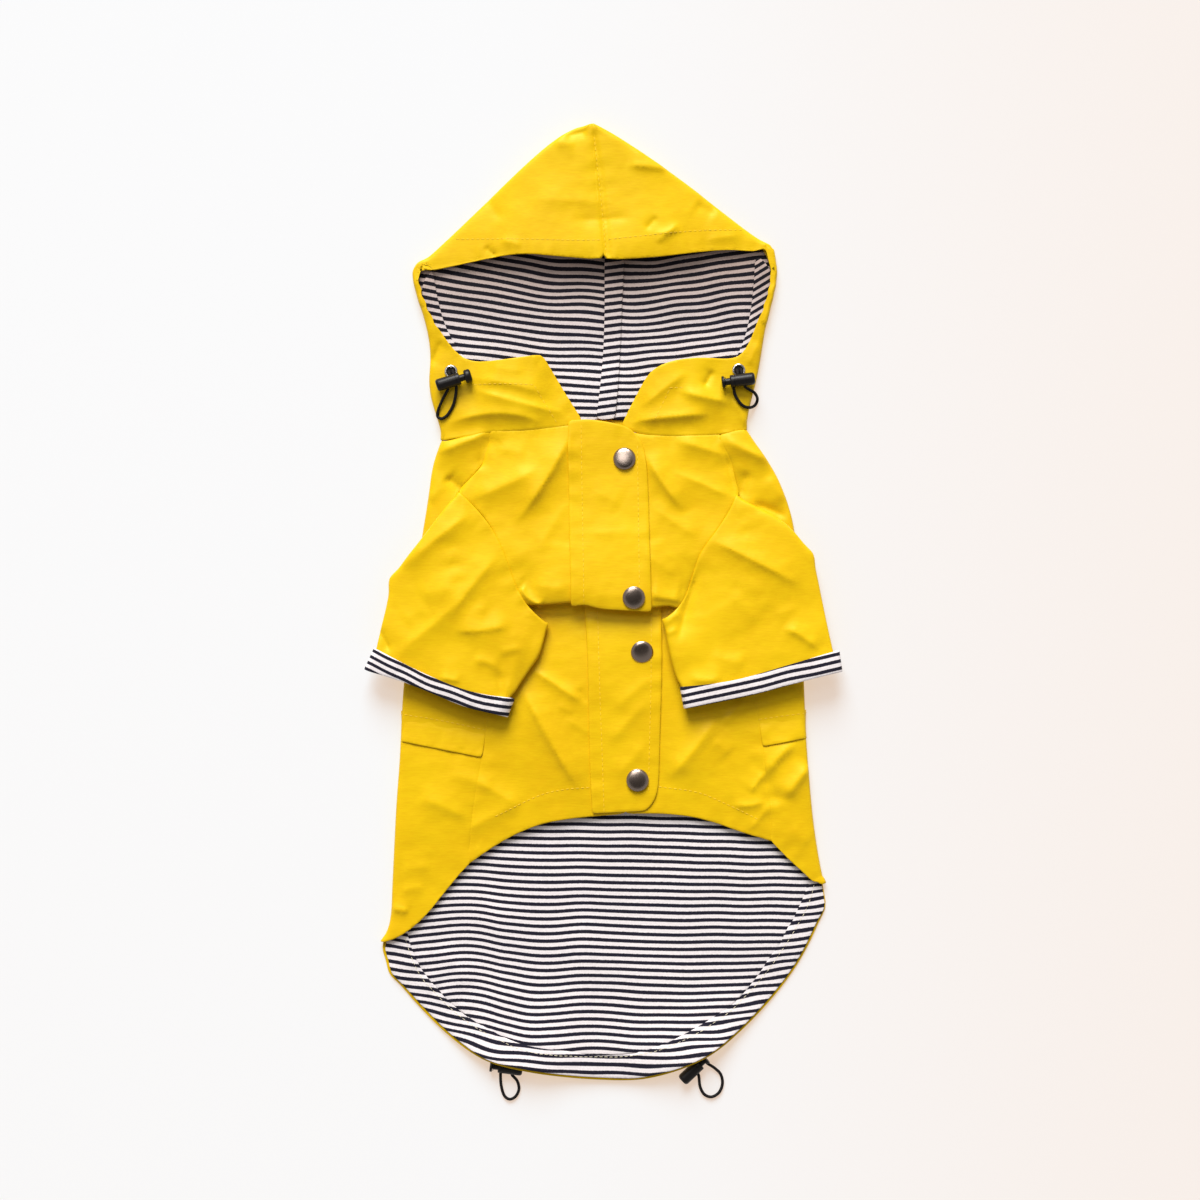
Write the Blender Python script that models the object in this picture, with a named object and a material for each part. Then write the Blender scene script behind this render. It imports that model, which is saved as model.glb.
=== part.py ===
"""Dog raincoat, laid flat on its back with the front up.

Units in the tables are millimetres, X to the right, Y toward the hood, Z up from the surface it lies on.
Every cloth piece is a wall: a grid of points on the middle of the cloth, moved out to both faces.
"""
import math

import bmesh
import bpy
from mathutils import Vector

MM = 0.001

# Cloth walls and the clearance kept between pieces.
SHELL = 1.2
LINING = 1.0
SEAM_GAP = 0.3
SEAM_CLEAR = 0.5

# Heights of the middle of each layer, from the surface up.
BACK_MID = SHELL / 2
LINING_STEP = (SHELL + LINING) / 2 + SEAM_GAP
TRIM_STEP = LINING + SEAM_GAP
FRONT_MID = 5.2
CHEST_LIFT = 4.8
CHEST_FOLD_RADIUS = 1.0
CHEST_RETURN = 13.0
CHEST_REACH = 44.0
ARMHOLE_REACH = 34.0
ARMHOLE_EASE = 0.45
ARMHOLE_MID = (20.0, 46.0)
ARMHOLE_TOP = (62.0, 26.0)
SLEEVE_STEP = SHELL + SEAM_GAP + 0.8
SLEEVE_HEIGHT = 3.0
SLEEVE_PUFF = 1.6
CUFF_STEP = LINING_STEP + 0.2
CUFF_HEIGHT = 6.0
SLEEVE_PUFF_END = 0.8
SLEEVE_END_TURN = 0.2
SLEEVE_UNDER_TURN = 0.62
SLEEVE_UPPER_TURN = 0.6
SLEEVE_END_SLIM = 0.13

# Colours (linear), roughness.
YELLOW = (0.90, 0.56, 0.016)
STRIPED = (0.62, 0.60, 0.66)
BLACK = (0.012, 0.011, 0.013)
GUNMETAL = (0.22, 0.21, 0.22)
SILVER = (0.75, 0.75, 0.76)

# Back panel from the neck to the hem: side folds and the seams where it meets the fronts.
# left fold x, y; left seam x, y; right fold x, y; right seam x, y
BODY_SECTIONS = [
    (-97.5, 95.6, -68.2, 101.2, 86.1, 101.9, 68.9, 98.4),
    (-102.4, 82.0, -71.8, 82.0, 100.6, 82.0, 77.6, 82.0),
    (-104.5, 66.0, -88.6, 66.2, 108.2, 66.0, 81.0, 64.0),
    (-107.0, 50.0, -91.0, 49.0, 113.7, 49.0, 88.0, 49.0),
    (-110.5, 28.0, -94.0, 28.0, 116.4, 28.0, 94.0, 28.0),
    (-114.1, 2.0, -88.0, 4.0, 118.0, 2.0, 92.0, 2.0),
    (-117.2, -24.0, -75.0, -22.0, 119.2, -24.0, 87.0, -22.0),
    (-119.3, -45.0, -69.0, -45.0, 120.2, -45.0, 89.0, -46.0),
    (-120.6, -62.0, -68.8, -62.0, 120.8, -62.0, 91.3, -62.0),
    (-121.4, -80.0, -71.0, -80.0, 121.5, -80.0, 94.3, -80.0),
    (-122.3, -98.0, -73.7, -98.0, 122.8, -98.0, 96.7, -98.0),
    (-124.2, -121.0, -77.4, -120.0, 124.7, -120.0, 99.6, -116.0),
    (-125.4, -145.0, -79.4, -134.0, 127.0, -139.0, 100.6, -127.0),
    (-126.8, -172.0, -80.3, -146.0, 129.8, -156.0, 101.0, -135.0),
    (-127.5, -190.0, -80.6, -152.0, 131.8, -165.5, 101.1, -139.5),
    (-131.4, -202.6, -80.7, -155.7, 133.5, -171.9, 101.1, -141.9),
]
BACK_NECK = [(-97.5, 95.6), (-50.0, 98.0), (0.0, 101.4), (50.0, 101.6), (86.1, 101.9)]
HEM_WRAP_LEFT = [(-131.4, -202.6), (-124.5, -198.2), (-117.3, -196.0), (-109.0, -188.5), (-100.5, -177.9),
                 (-88.5, -162.6), (-80.7, -155.7)]
HEM_WRAP_RIGHT = [(133.5, -171.9), (126.7, -164.2), (111.9, -153.3), (101.1, -141.9)]

# Tail: outline of the back panel beyond the front hem, and the stitch line of its facing.
# outline x, y; facing stitch x, y
TAIL_SECTIONS = [
    (-131.4, -202.6, -118.0, -196.0),
    (-128.2, -212.6, -115.5, -207.0),
    (-125.6, -220.6, -112.0, -216.5),
    (-120.9, -229.5, -107.0, -224.5),
    (-107.7, -244.4, -96.5, -235.0),
    (-94.5, -257.4, -84.0, -246.5),
    (-82.0, -267.0, -72.0, -254.5),
    (-69.3, -274.4, -59.0, -261.5),
    (-50.7, -278.8, -45.0, -266.2),
    (-31.5, -282.4, -28.0, -269.0),
    (-12.3, -284.9, -10.0, -270.6),
    (14.7, -286.2, 12.0, -271.0),
    (26.1, -284.7, 24.0, -269.6),
    (41.1, -280.6, 37.5, -264.9),
    (60.3, -272.7, 55.0, -256.0),
    (75.9, -261.9, 69.5, -247.5),
    (93.3, -245.6, 84.0, -234.5),
    (110.1, -225.9, 98.0, -217.0),
    (121.5, -207.5, 108.3, -201.0),
    (131.2, -185.5, 119.3, -180.0),
    (133.5, -171.9, 125.0, -163.0),
]
TAIL_RIM = 2.0
TAIL_END_RIM = 5.2
TAIL_LINING_TOP = [(-113.0, -110.0), (0.0, -108.0), (113.0, -110.0)]
TAIL_LINING_LEFT = (-115.5, -150.0)
TAIL_LINING_RIGHT = (117.0, -140.0)
TAIL_HEART = (0.0, -200.0)

# Fronts: neck seam, armhole, fold below the chest, side seam of the belly and hem.
FRONT_CENTRE = [(2.0, 104.5), (3.5, 60.0), (5.5, 20.0), (6.5, -2.5)]
BELLY_CENTRE = [(8.0, 9.0), (10.5, -20.0), (12.0, -70.0), (13.0, -126.0)]
NECK_LEFT = [(2.0, 104.5), (-12.0, 105.4), (-26.1, 103.9), (-37.9, 102.9), (-56.1, 101.2), (-67.5, 101.7)]
NECK_RIGHT = [(2.6, 104.5), (12.0, 101.5), (22.5, 98.7), (45.9, 98.5), (68.1, 98.7)]
CHEST_EDGE_LEFT = [(-67.5, 101.7), (-68.1, 91.0), (-70.0, 82.0), (-78.3, 73.5), (-86.1, 65.7), (-76.5, 57.3),
                   (-69.9, 50.7), (-63.9, 40.5), (-59.4, 30.9), (-54.9, 18.9), (-51.3, 8.7), (-48.9, 2.7),
                   (-44.6, -2.2)]
CHEST_EDGE_RIGHT = [(68.1, 98.7), (73.0, 90.0), (76.6, 80.5), (78.4, 71.0), (79.5, 62.1), (72.3, 51.0),
                    (67.5, 43.5), (60.8, 35.1), (57.3, 29.1), (53.1, 17.3), (50.7, 8.1), (48.4, 1.5),
                    (44.5, -3.4)]
CHEST_FOLD_LEFT = [(6.5, -2.5), (-4.1, -1.1), (-20.9, -0.7), (-34.0, -2.0), (-44.6, -2.2)]
CHEST_FOLD_RIGHT = [(7.1, -2.6), (18.0, -4.0), (28.0, -4.2), (36.0, -2.6), (44.5, -3.4)]
BELLY_EDGE_LEFT = [(-44.0, 9.0), (-47.0, 0.0), (-55.0, -15.0), (-64.0, -31.0), (-68.4, -45.0), (-68.3, -62.0),
                   (-70.5, -80.0), (-73.2, -98.0), (-76.9, -120.0), (-78.9, -134.0), (-79.8, -146.0),
                   (-80.2, -155.3)]
BELLY_EDGE_RIGHT = [(44.0, 9.0), (48.0, -2.0), (64.0, -16.0), (80.0, -30.0), (88.4, -46.0), (90.8, -62.0),
                    (93.8, -80.0), (96.2, -98.0), (99.1, -116.0), (100.1, -127.0), (100.5, -135.0),
                    (100.6, -141.6)]
HEM_LEFT = [(13.0, -126.0), (-6.3, -127.3), (-22.0, -129.0), (-38.9, -132.0), (-60.0, -141.7), (-80.2, -155.3)]
HEM_RIGHT = [(13.6, -126.0), (34.0, -125.6), (56.7, -128.1), (74.1, -133.5), (88.0, -138.9), (100.6, -141.6)]

# Placket, in the two stretches above and below the chest fold.
# left x, y; right x, y
PLACKET_UPPER = [
    (-20.4, 107.7, 14.0, 104.4),
    (-20.8, 98.0, 22.5, 96.3),
    (-20.6, 84.0, 25.0, 84.0),
    (-20.2, 66.0, 26.3, 66.0),
    (-19.9, 40.0, 27.0, 40.0),
    (-19.2, 16.0, 27.8, 14.0),
    (-18.9, -3.1, 28.3, -5.7),
]
PLACKET_TOP = [(-20.4, 107.7), (-11.0, 108.6), (0.0, 107.4), (14.0, 104.4)]
PLACKET_LOWER = [
    (-12.0, 7.0, 34.2, 5.0),
    (-11.0, -4.0, 34.4, -14.0),
    (-9.2, -30.0, 34.5, -39.0),
    (-8.3, -66.0, 33.4, -76.0),
    (-7.4, -103.0, 32.6, -103.0),
    (-6.6, -118.0, 31.4, -117.0),
    (-6.2, -126.2, 26.0, -124.6),
]

# Hood halves from the neck seam round the outline to the peak.
# outline x, y; free front edge, then brow edge, then centre seam x, y
HOOD_LEFT_SECTIONS = [
    (-97.0, 97.2, -13.0, 107.4),
    (-97.6, 102.0, -18.3, 115.5),
    (-99.3, 108.5, -26.1, 128.1),
    (-101.7, 115.5, -32.7, 139.5),
    (-103.4, 121.5, -37.3, 146.7),
    (-104.3, 127.0, -54.3, 144.3),
    (-104.7, 132.4, -71.1, 141.9),
    (-104.3, 138.6, -82.5, 143.1),
    (-103.6, 147.0, -90.9, 150.3),
    (-105.0, 160.5, -99.2, 162.2),
    (-109.6, 176.4, -105.6, 177.2),
    (-112.7, 187.1, -108.7, 187.4),
    (-114.9, 197.1, -109.6, 197.1),
    (-112.7, 199.6, -98.1, 199.8),
    (-107.6, 203.9, -74.1, 204.7),
    (-101.5, 209.4, -50.1, 209.2),
    (-84.0, 225.9, -33.0, 207.0),
    (-72.0, 237.6, 0.1, 204.5),
    (-58.0, 250.9, -1.1, 217.0),
    (-43.0, 264.9, -2.9, 235.0),
    (-30.5, 275.5, -4.7, 254.0),
    (-19.0, 282.8, -5.9, 268.0),
    (-9.5, 285.6, -7.1, 281.4),
]
HOOD_RIGHT_SECTIONS = [
    (85.7, 103.0, 11.6, 104.5),
    (86.2, 107.0, 14.7, 111.5),
    (87.2, 113.0, 18.9, 119.7),
    (88.2, 118.0, 23.7, 128.7),
    (89.4, 122.5, 29.7, 139.5),
    (90.6, 127.0, 47.5, 144.8),
    (91.9, 132.0, 65.1, 144.8),
    (93.2, 138.5, 78.0, 143.6),
    (94.8, 147.5, 85.6, 148.5),
    (97.0, 162.5, 92.0, 163.4),
    (100.3, 177.5, 96.6, 178.2),
    (102.7, 187.5, 99.1, 187.8),
    (103.9, 196.5, 100.2, 196.6),
    (102.3, 206.9, 98.4, 205.6),
    (99.4, 212.4, 94.6, 209.6),
    (95.5, 215.8, 78.5, 211.6),
    (89.0, 220.1, 57.9, 210.0),
    (80.5, 226.4, 30.9, 205.8),
    (70.0, 234.4, 0.5, 204.5),
    (53.3, 247.9, -0.7, 217.0),
    (32.5, 262.5, -2.5, 235.0),
    (14.9, 274.3, -4.3, 254.0),
    (3.4, 281.4, -5.5, 268.0),
    (-4.4, 285.5, -6.6, 281.4),
]
# Lower edge of the hood's front layer, along the neck seam, from the side fold inward.
HOOD_NECK_LEFT = [(-97.0, 97.2), (-88.3, 97.8), (-78.1, 100.6), (-67.2, 102.6), (-54.7, 102.3), (-37.9, 103.6),
                  (-20.9, 105.8), (-13.0, 107.4)]
HOOD_NECK_RIGHT = [(85.7, 103.0), (78.1, 101.3), (68.3, 99.8), (46.4, 99.7), (26.0, 99.7), (17.0, 101.6),
                   (11.6, 104.5)]
NECK_FADE_ROWS = 4
HOOD_BACK_SEAM = [(-1.5, 102.6), (0.3, 130.0), (0.9, 154.0), (0.9, 190.0), (0.0, 220.0), (-2.5, 247.0),
                  (-6.9, 281.4)]
# Hood lining, seen through the opening: outer edge x, y; centre x (both halves share the rows' y).
LINING_TOP_Y = 236.0
LINING_LOW_Y = 108.6
LINING_INSET = 3.1
LINING_CENTRE = [(1.4, 108.6), (6.0, 150.0), (6.3, 236.0)]
# The facing strip inside each side of the opening: inner line x, y from the bottom up.
FACING_LOW_Y = 134.0
FACING_TOP_Y = {-1: 197.0, 1: 206.9}
FACING_LINE_LEFT = [(-76.0, 137.0), (-86.0, 149.0), (-94.4, 163.5), (-99.3, 180.0), (-102.4, 198.0)]
FACING_LINE_RIGHT = [(73.0, 137.0), (81.5, 148.5), (86.4, 163.0), (89.6, 181.0), (91.3, 204.0)]
# left x, right x, y down the tape over the lining's centre seam.
TAPE_SECTIONS = [
    (1.2, 12.4, 216.0),
    (1.1, 12.1, 203.0),
    (1.1, 10.6, 172.0),
    (0.4, 9.7, 150.0),
    (-1.4, 8.6, 130.0),
    (-3.8, 6.6, 109.2),
]

# Sleeves: folds from armhole to end, the armhole over and under, the end.
SLEEVE_LEFT = {
    "outer": [(-86.9, 65.1), (-98.1, 51.9), (-109.7, 36.1), (-121.6, 21.2), (-126.9, 9.9), (-129.9, -5.1),
              (-133.3, -18.3), (-136.6, -34.6)],
    "inner": [(-33.1, -13.4), (-34.7, -21.1), (-38.1, -32.7), (-43.3, -40.3), (-50.6, -51.0), (-55.4, -59.1),
              (-58.6, -65.4)],
    "armhole": [(-86.9, 65.1), (-77.5, 56.3), (-71.0, 49.7), (-64.9, 39.9), (-59.9, 30.6), (-55.4, 18.6),
                (-51.8, 8.3), (-49.2, 2.0), (-44.9, -3.2), (-38.5, -9.1), (-33.1, -13.4)],
    "under": [(-86.1, 65.7), (-92.0, 46.0), (-90.0, 20.0), (-76.0, -4.0), (-52.0, -13.0), (-33.1, -13.4)],
    "end": [(-136.6, -34.6), (-120.0, -45.0), (-100.5, -52.6), (-80.1, -60.3), (-58.6, -65.4)],
}
SLEEVE_RIGHT = {
    "outer": [(80.3, 61.3), (94.5, 55.8), (110.1, 46.4), (118.8, 36.2), (124.8, 26.7), (128.4, 12.3),
              (132.9, -11.1), (137.7, -33.0)],
    "inner": [(35.6, -11.4), (37.0, -20.0), (39.7, -34.1), (43.0, -45.1), (47.4, -52.9), (49.8, -59.6)],
    "armhole": [(80.3, 61.3), (73.5, 50.2), (68.5, 42.7), (61.2, 34.8), (57.8, 28.7), (53.6, 17.0),
                (51.2, 7.8), (48.9, 1.1), (45.0, -4.2), (40.5, -9.0), (35.6, -11.4)],
    "under": [(79.5, 62.1), (88.0, 46.0), (88.0, 20.0), (76.0, -2.0), (54.0, -12.0), (35.6, -11.4)],
    "end": [(137.7, -33.0), (122.0, -40.0), (98.0, -47.6), (72.0, -53.5), (49.8, -59.6)],
}
CUFF_LEFT = {
    "top": [(-136.9, -27.6), (-115.5, -38.7), (-99.9, -45.7), (-84.9, -51.8), (-69.0, -56.3), (-52.8, -58.4)],
    "end": [(-142.5, -39.6), (-124.0, -45.1), (-100.5, -54.3), (-80.0, -62.9), (-69.3, -65.6), (-56.5, -68.6)],
}
CUFF_RIGHT = {
    "top": [(140.9, -29.3), (121.9, -34.8), (102.8, -40.2), (83.7, -45.8), (64.6, -49.4), (45.2, -51.3)],
    "end": [(142.6, -41.2), (126.9, -45.0), (108.0, -49.9), (88.0, -55.2), (68.1, -59.3), (47.4, -63.3)],
}

# Pocket flaps: corner at the side seam (upper, lower), corner at the fold (upper, lower), end on the back.
FLAP_LEFT = {"seam": ((-69.9, -74.6), (-72.6, -93.0)), "fold": ((-122.2, -65.4), (-122.9, -83.6)), "back": -62.0}
FLAP_RIGHT = {"seam": ((92.6, -68.4), (95.4, -86.4)), "fold": ((122.4, -64.8), (123.2, -81.6)), "back": 62.0}
FLAP_BACK_Y = (-66.0, -84.0)
FLAP_RAISE = LINING + SEAM_GAP
FLAP_CLEARANCE = 0.3
FLAP_ZONE_X = 44.0
FLAP_ZONE_Y = (-42.0, -112.0)
FLAP_ZONE_FADE = 22.0

# Soft folds of the front layers: x0, y0, x1, y1, height, half width.
FOLDS = [
    (-51.0, -52.0, -14.0, -116.0, 1.7, 8.0),
    (-104.0, -104.0, -88.0, -160.0, 1.0, 9.0),
    (-26.0, 92.0, -48.0, 46.0, 1.6, 7.0),
    (-78.0, 82.0, -38.0, 70.0, 1.2, 6.0),
    (26.0, 92.0, 46.0, 55.0, 1.6, 7.0),
    (60.0, 88.0, 72.0, 62.0, 1.0, 6.0),
    (63.0, 36.0, 116.0, 8.0, 2.0, 8.0),
    (-122.0, -24.0, -64.0, 30.0, 2.0, 8.0),
    (-92.0, -18.0, -52.0, -20.0, 1.3, 6.0),
    (-84.0, 124.0, -28.0, 112.0, 1.4, 7.0),
    (76.0, 120.0, 28.0, 112.0, 1.4, 7.0),
    (-60.0, 132.0, -36.0, 120.0, 0.9, 6.0),
    (-60.0, 210.0, 54.0, 211.0, 6.5, 23.0),
    (-60.0, 228.0, -22.0, 244.0, 1.2, 9.0),
    (18.0, 236.0, 62.0, 226.0, 1.2, 9.0),
    (104.0, -96.0, 112.0, -140.0, 1.2, 8.0),
    (44.0, -88.0, 78.0, -122.0, 1.0, 9.0),
]
# One broad swell: height, middle y, reach along X, reach along Y.
SWELL = (1.2, -70.0, 70.0, 60.0)
FOLD_END = 0.45

# Snap caps down the placket: x, y.
SNAPS = [(12.6, 85.3), (18.1, 2.4), (23.1, -30.0), (20.4, -106.5)]
SNAP_RADIUS = 6.7
SNAP_HEIGHT = 2.0

# Cord locks: a barrel with a spring plunger.
BARREL_RADIUS = 3.7
BARREL_LENGTH = 14.6
BORE_RADIUS = 2.5
BORE_DEPTH = 10.5
PLUNGER_STEM = 2.1
PLUNGER_STROKE = 2.5
PLUNGER_REACH = 5.0
PLUNGER_HEAD_RADIUS = 3.7
PLUNGER_HEAD = 1.5
EYELET_RADIUS = 4.0
EYELET_HOLE = 2.3
EYELET_HEIGHT = 0.7
EYELET_ROLL = 0.7
LOCK_SEAT_RADIUS = 7.0
LOCK_CLEARANCE = 0.9
SURFACE_CLEARANCE = 0.05
LOOP_START_DROP = 1.4
LOOP_DROP_POINTS = 2.5
STRAND_OFFSET = 1.15
CORD_RADIUS = 0.9
# name: barrel-and-plunger centre x, y; axis angle toward the plunger in degrees; eyelet x, y or None.
LOCKS = {
    "hood_left": (-90.0, 131.2, 11.0, (-91.0, 137.6)),
    "hood_right": (80.4, 132.0, 184.0, (80.9, 138.4)),
    "hem_left": (-58.1, -279.0, 176.0, None),
    "hem_right": (54.2, -280.0, 43.0, None),
}
# The tail's edge rises over the locks under it: x, y, height, reach along X, reach along Y.
LOCK_RISES = [(-54.0, -281.0, 8.6, 34.0, 25.0), (57.0, -278.0, 8.4, 32.0, 25.0)]
RISE_CLEARANCE = 0.07
RISE_STEP = 0.5
# Free loops of elastic, from the barrel and back to it: x, y.
LOOPS = {
    "hood_left": [(-92.6, 126.6), (-95.4, 121.6), (-98.6, 114.6), (-99.0, 110.6), (-96.4, 109.4), (-93.0, 111.6),
                  (-89.9, 116.8), (-88.3, 122.0), (-87.6, 127.4)],
    "hood_right": [(77.6, 127.4), (78.9, 122.6), (82.6, 117.6), (87.0, 116.0), (90.9, 117.8), (92.3, 121.6),
                   (90.0, 125.0), (84.8, 127.8)],
    "hem_left": [(-61.6, -283.5), (-61.2, -290.0), (-59.4, -296.0), (-56.2, -298.3), (-52.6, -296.6),
                 (-50.6, -292.2), (-51.6, -287.2), (-54.6, -283.6)],
    "hem_right": [(62.9, -277.0), (66.6, -279.4), (70.4, -283.4), (71.4, -289.0), (69.4, -294.2), (65.0, -296.9),
                  (60.6, -295.4), (58.0, -290.6), (57.1, -283.8)],
}

ARC_STEPS = 4
CORD_POINTS = 15


def clamp(value, low=0.0, high=1.0):
    """The value kept within its limits."""
    return max(low, min(high, value))


def ease(value):
    """A smooth step from 0 to 1."""
    value = clamp(value)
    return value * value * (3.0 - 2.0 * value)


def lerp(a, b, t):
    """The value a share of the way from one to the other."""
    return a + (b - a) * t


class Rail:
    """A smooth curve through points, read by a share of its length or by its point number."""

    def __init__(self, points, even=False):
        self.points = [Vector(point) for point in points]
        steps = [(b - a).length for a, b in zip(self.points, self.points[1:])]
        if even:
            steps = [1.0] * len(steps)
        self.marks = [0.0]
        for step in steps:
            self.marks.append(self.marks[-1] + step)

    def at(self, share):
        place = clamp(share) * self.marks[-1]
        index = 0
        while index < len(self.points) - 2 and self.marks[index + 1] < place:
            index += 1
        start, end = self.points[index], self.points[index + 1]
        span = self.marks[index + 1] - self.marks[index]
        t = (place - self.marks[index]) / span
        before = self.points[max(index - 1, 0)]
        after = self.points[min(index + 2, len(self.points) - 1)]
        before_span = max(self.marks[index] - self.marks[max(index - 1, 0)], 1e-6)
        after_span = max(self.marks[min(index + 2, len(self.points) - 1)] - self.marks[index + 1], 1e-6)
        chord = (end - start) / span
        into = chord if index == 0 else ((start - before) / before_span + chord) / 2
        away = chord if index + 2 > len(self.points) - 1 else ((after - end) / after_span + chord) / 2
        h1 = 2 * t ** 3 - 3 * t ** 2 + 1
        h2 = t ** 3 - 2 * t ** 2 + t
        h3 = -2 * t ** 3 + 3 * t ** 2
        h4 = t ** 3 - t ** 2
        return start * h1 + into * (span * h2) + end * h3 + away * (span * h4)

    def sample(self, count):
        return [self.at(index / (count - 1)) for index in range(count)]


def columns(table, first, second):
    """Two columns of a table as points."""
    return [(row[first], row[second]) for row in table]


def coons(first, last, left, right):
    """Plan grid between four edge curves: rows run from left to right, first and last are its end rows."""
    rows = []
    width, height = len(first) - 1, len(left) - 1
    for j in range(height + 1):
        v = j / height
        row = []
        for i in range(width + 1):
            u = i / width
            ruled = lerp(first[i], last[i], v) + lerp(left[j], right[j], u)
            corners = lerp(lerp(first[0], first[-1], u), lerp(last[0], last[-1], u), v)
            row.append(ruled - corners)
        rows.append(row)
    return rows


def distance_to_line(x, y, x0, y0, x1, y1):
    """Distance to a line and how far along it the nearest place is, as a share."""
    along = Vector((x1 - x0, y1 - y0))
    share = clamp(Vector((x - x0, y - y0)).dot(along) / along.length_squared)
    return (Vector((x, y)) - Vector((x0, y0)) - along * share).length, share


def folds(x, y):
    """Height that the soft folds and the swell of the cloth add to every front layer."""
    swell, middle_y, reach_x, reach_y = SWELL
    total = swell * math.exp(-((x / reach_x) ** 2) - ((y - middle_y) / reach_y) ** 2)
    for x0, y0, x1, y1, height, width in FOLDS:
        distance, share = distance_to_line(x, y, x0, y0, x1, y1)
        total += height * math.exp(-(distance / width) ** 2) * lerp(FOLD_END, 1.0, math.sin(math.pi * share))
    return total


def plateau(x, y):
    """1 where the back panel lies on the pocket flaps' back parts, 0 away from them."""
    inside_x = ease((abs(x) - FLAP_ZONE_X + FLAP_ZONE_FADE) / FLAP_ZONE_FADE)
    above = ease((y - FLAP_ZONE_Y[1] + FLAP_ZONE_FADE) / FLAP_ZONE_FADE)
    below = ease((FLAP_ZONE_Y[0] + FLAP_ZONE_FADE - y) / FLAP_ZONE_FADE)
    return inside_x * above * below


def lock_rise(x, y):
    """How far the tail's edge is held up by the locks under it."""
    rise = 0.0
    for centre_x, centre_y, height, reach_x, reach_y in LOCK_RISES:
        rise += height * math.exp(-((x - centre_x) / reach_x) ** 2 - ((y - centre_y) / reach_y) ** 2)
    return rise


def back_z(x, y):
    return BACK_MID + FLAP_RAISE * plateau(x, y) + lock_rise(x, y)


def lining_z(x, y):
    rise = lock_rise(x, y)
    clearance = RISE_CLEARANCE * rise + RISE_STEP * clamp(rise) + FLAP_CLEARANCE * clamp(4.0 * plateau(x, y))
    return back_z(x, y) + LINING_STEP + clearance


def trim_z(x, y):
    return lining_z(x, y) + TRIM_STEP


def front_z(x, y):
    return FRONT_MID + folds(x, y)


def chest_z(x, y):
    """The chest stands higher toward the fold below it and toward the armholes."""
    by_fold = 1.0 - ease((y - CHEST_RETURN) / CHEST_REACH)
    edge = CHEST_EDGE_LEFT if x < 0 else CHEST_EDGE_RIGHT
    nearest = min(distance_to_line(x, y, *a, *b)[0] for a, b in zip(edge[4:], edge[5:]))
    by_armhole = 1.0 - ease(nearest / ARMHOLE_REACH)
    by_armhole *= 1.0 - ARMHOLE_EASE * ease((y - ARMHOLE_MID[0]) / ARMHOLE_MID[1])
    by_armhole *= 1.0 - ease((y - ARMHOLE_TOP[0]) / ARMHOLE_TOP[1])
    return front_z(x, y) + CHEST_LIFT * (1.0 - (1.0 - by_fold) * (1.0 - by_armhole))


def placket_upper_z(x, y):
    return chest_z(x, y) + LINING_STEP


def placket_lower_z(x, y):
    return front_z(x, y) + LINING_STEP


def sleeve_under_z(x, y):
    return front_z(x, y) + SLEEVE_STEP


def lift(plan, level):
    """Gives each plan point of a grid its height."""
    return [[Vector((point.x, point.y, level(point.x, point.y))) for point in row] for row in plan]


def outward(rail, share, side):
    """Unit vector out of a fold line in the plan, on the given side of its run."""
    ahead, behind = rail.at(share + 0.004), rail.at(share - 0.004)
    run = (ahead - behind).normalized()
    return Vector((run.y, -run.x)) * side


def fold_arc(edge, out, low, high, thickness):
    """Points of a half round from the lower layer to the upper one, its outside on the edge."""
    radius = (high - low) / 2
    centre = edge - out * (radius + thickness / 2)
    points = []
    for step in range(ARC_STEPS + 1):
        angle = math.pi * (step / ARC_STEPS - 0.5)
        place = centre + out * (radius * math.cos(angle))
        points.append(Vector((place.x, place.y, (low + high) / 2 + radius * math.sin(angle))))
    return points


def halves(mesh, corners):
    """Fills four corners with two triangles, cut along the shorter diagonal."""
    a, b, c, d = corners
    if (a.co - c.co).length <= (b.co - d.co).length:
        mesh.faces.new((a, b, c))
        mesh.faces.new((a, c, d))
    else:
        mesh.faces.new((a, b, d))
        mesh.faces.new((b, c, d))


def wall(name, grid, thickness, material, ring=False):
    """A closed wall on both sides of a grid of middle points; a ring joins each row's ends."""
    height, width = len(grid), len(grid[0])
    last = width if ring else width - 1
    normals = [[Vector() for _ in row] for row in grid]
    for j in range(height - 1):
        for i in range(last):
            k = (i + 1) % width
            turn = (grid[j + 1][k] - grid[j][i]).cross(grid[j + 1][i] - grid[j][k])
            for row, column in ((j, i), (j, k), (j + 1, i), (j + 1, k)):
                normals[row][column] += turn
    mesh = bmesh.new()
    faces = []
    for side in (0.5, -0.5):
        faces.append([[mesh.verts.new((place + normal.normalized() * (thickness * side)) * MM)
                       for place, normal in zip(row, row_normals)] for row, row_normals in zip(grid, normals)])
    for j in range(height - 1):
        for i in range(last):
            k = (i + 1) % width
            for skin in faces:
                corners = [skin[j][i], skin[j][k], skin[j + 1][k], skin[j + 1][i]]
                halves(mesh, corners)
    for j in (0, height - 1):
        for i in range(last):
            k = (i + 1) % width
            halves(mesh, [faces[0][j][k], faces[0][j][i], faces[1][j][i], faces[1][j][k]])
    if not ring:
        for i in (0, width - 1):
            for j in range(height - 1):
                halves(mesh, [faces[0][j][i], faces[0][j + 1][i], faces[1][j + 1][i], faces[1][j][i]])
    bmesh.ops.recalc_face_normals(mesh, faces=mesh.faces)
    return add_object(name, mesh, material, smooth=True)


def add_object(name, mesh, material, smooth=False):
    data = bpy.data.meshes.new(name)
    for face in mesh.faces:
        face.smooth = smooth
    mesh.to_mesh(data)
    mesh.free()
    data.materials.append(material)
    item = bpy.data.objects.new(name, data)
    bpy.context.scene.collection.objects.link(item)
    return item


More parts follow.
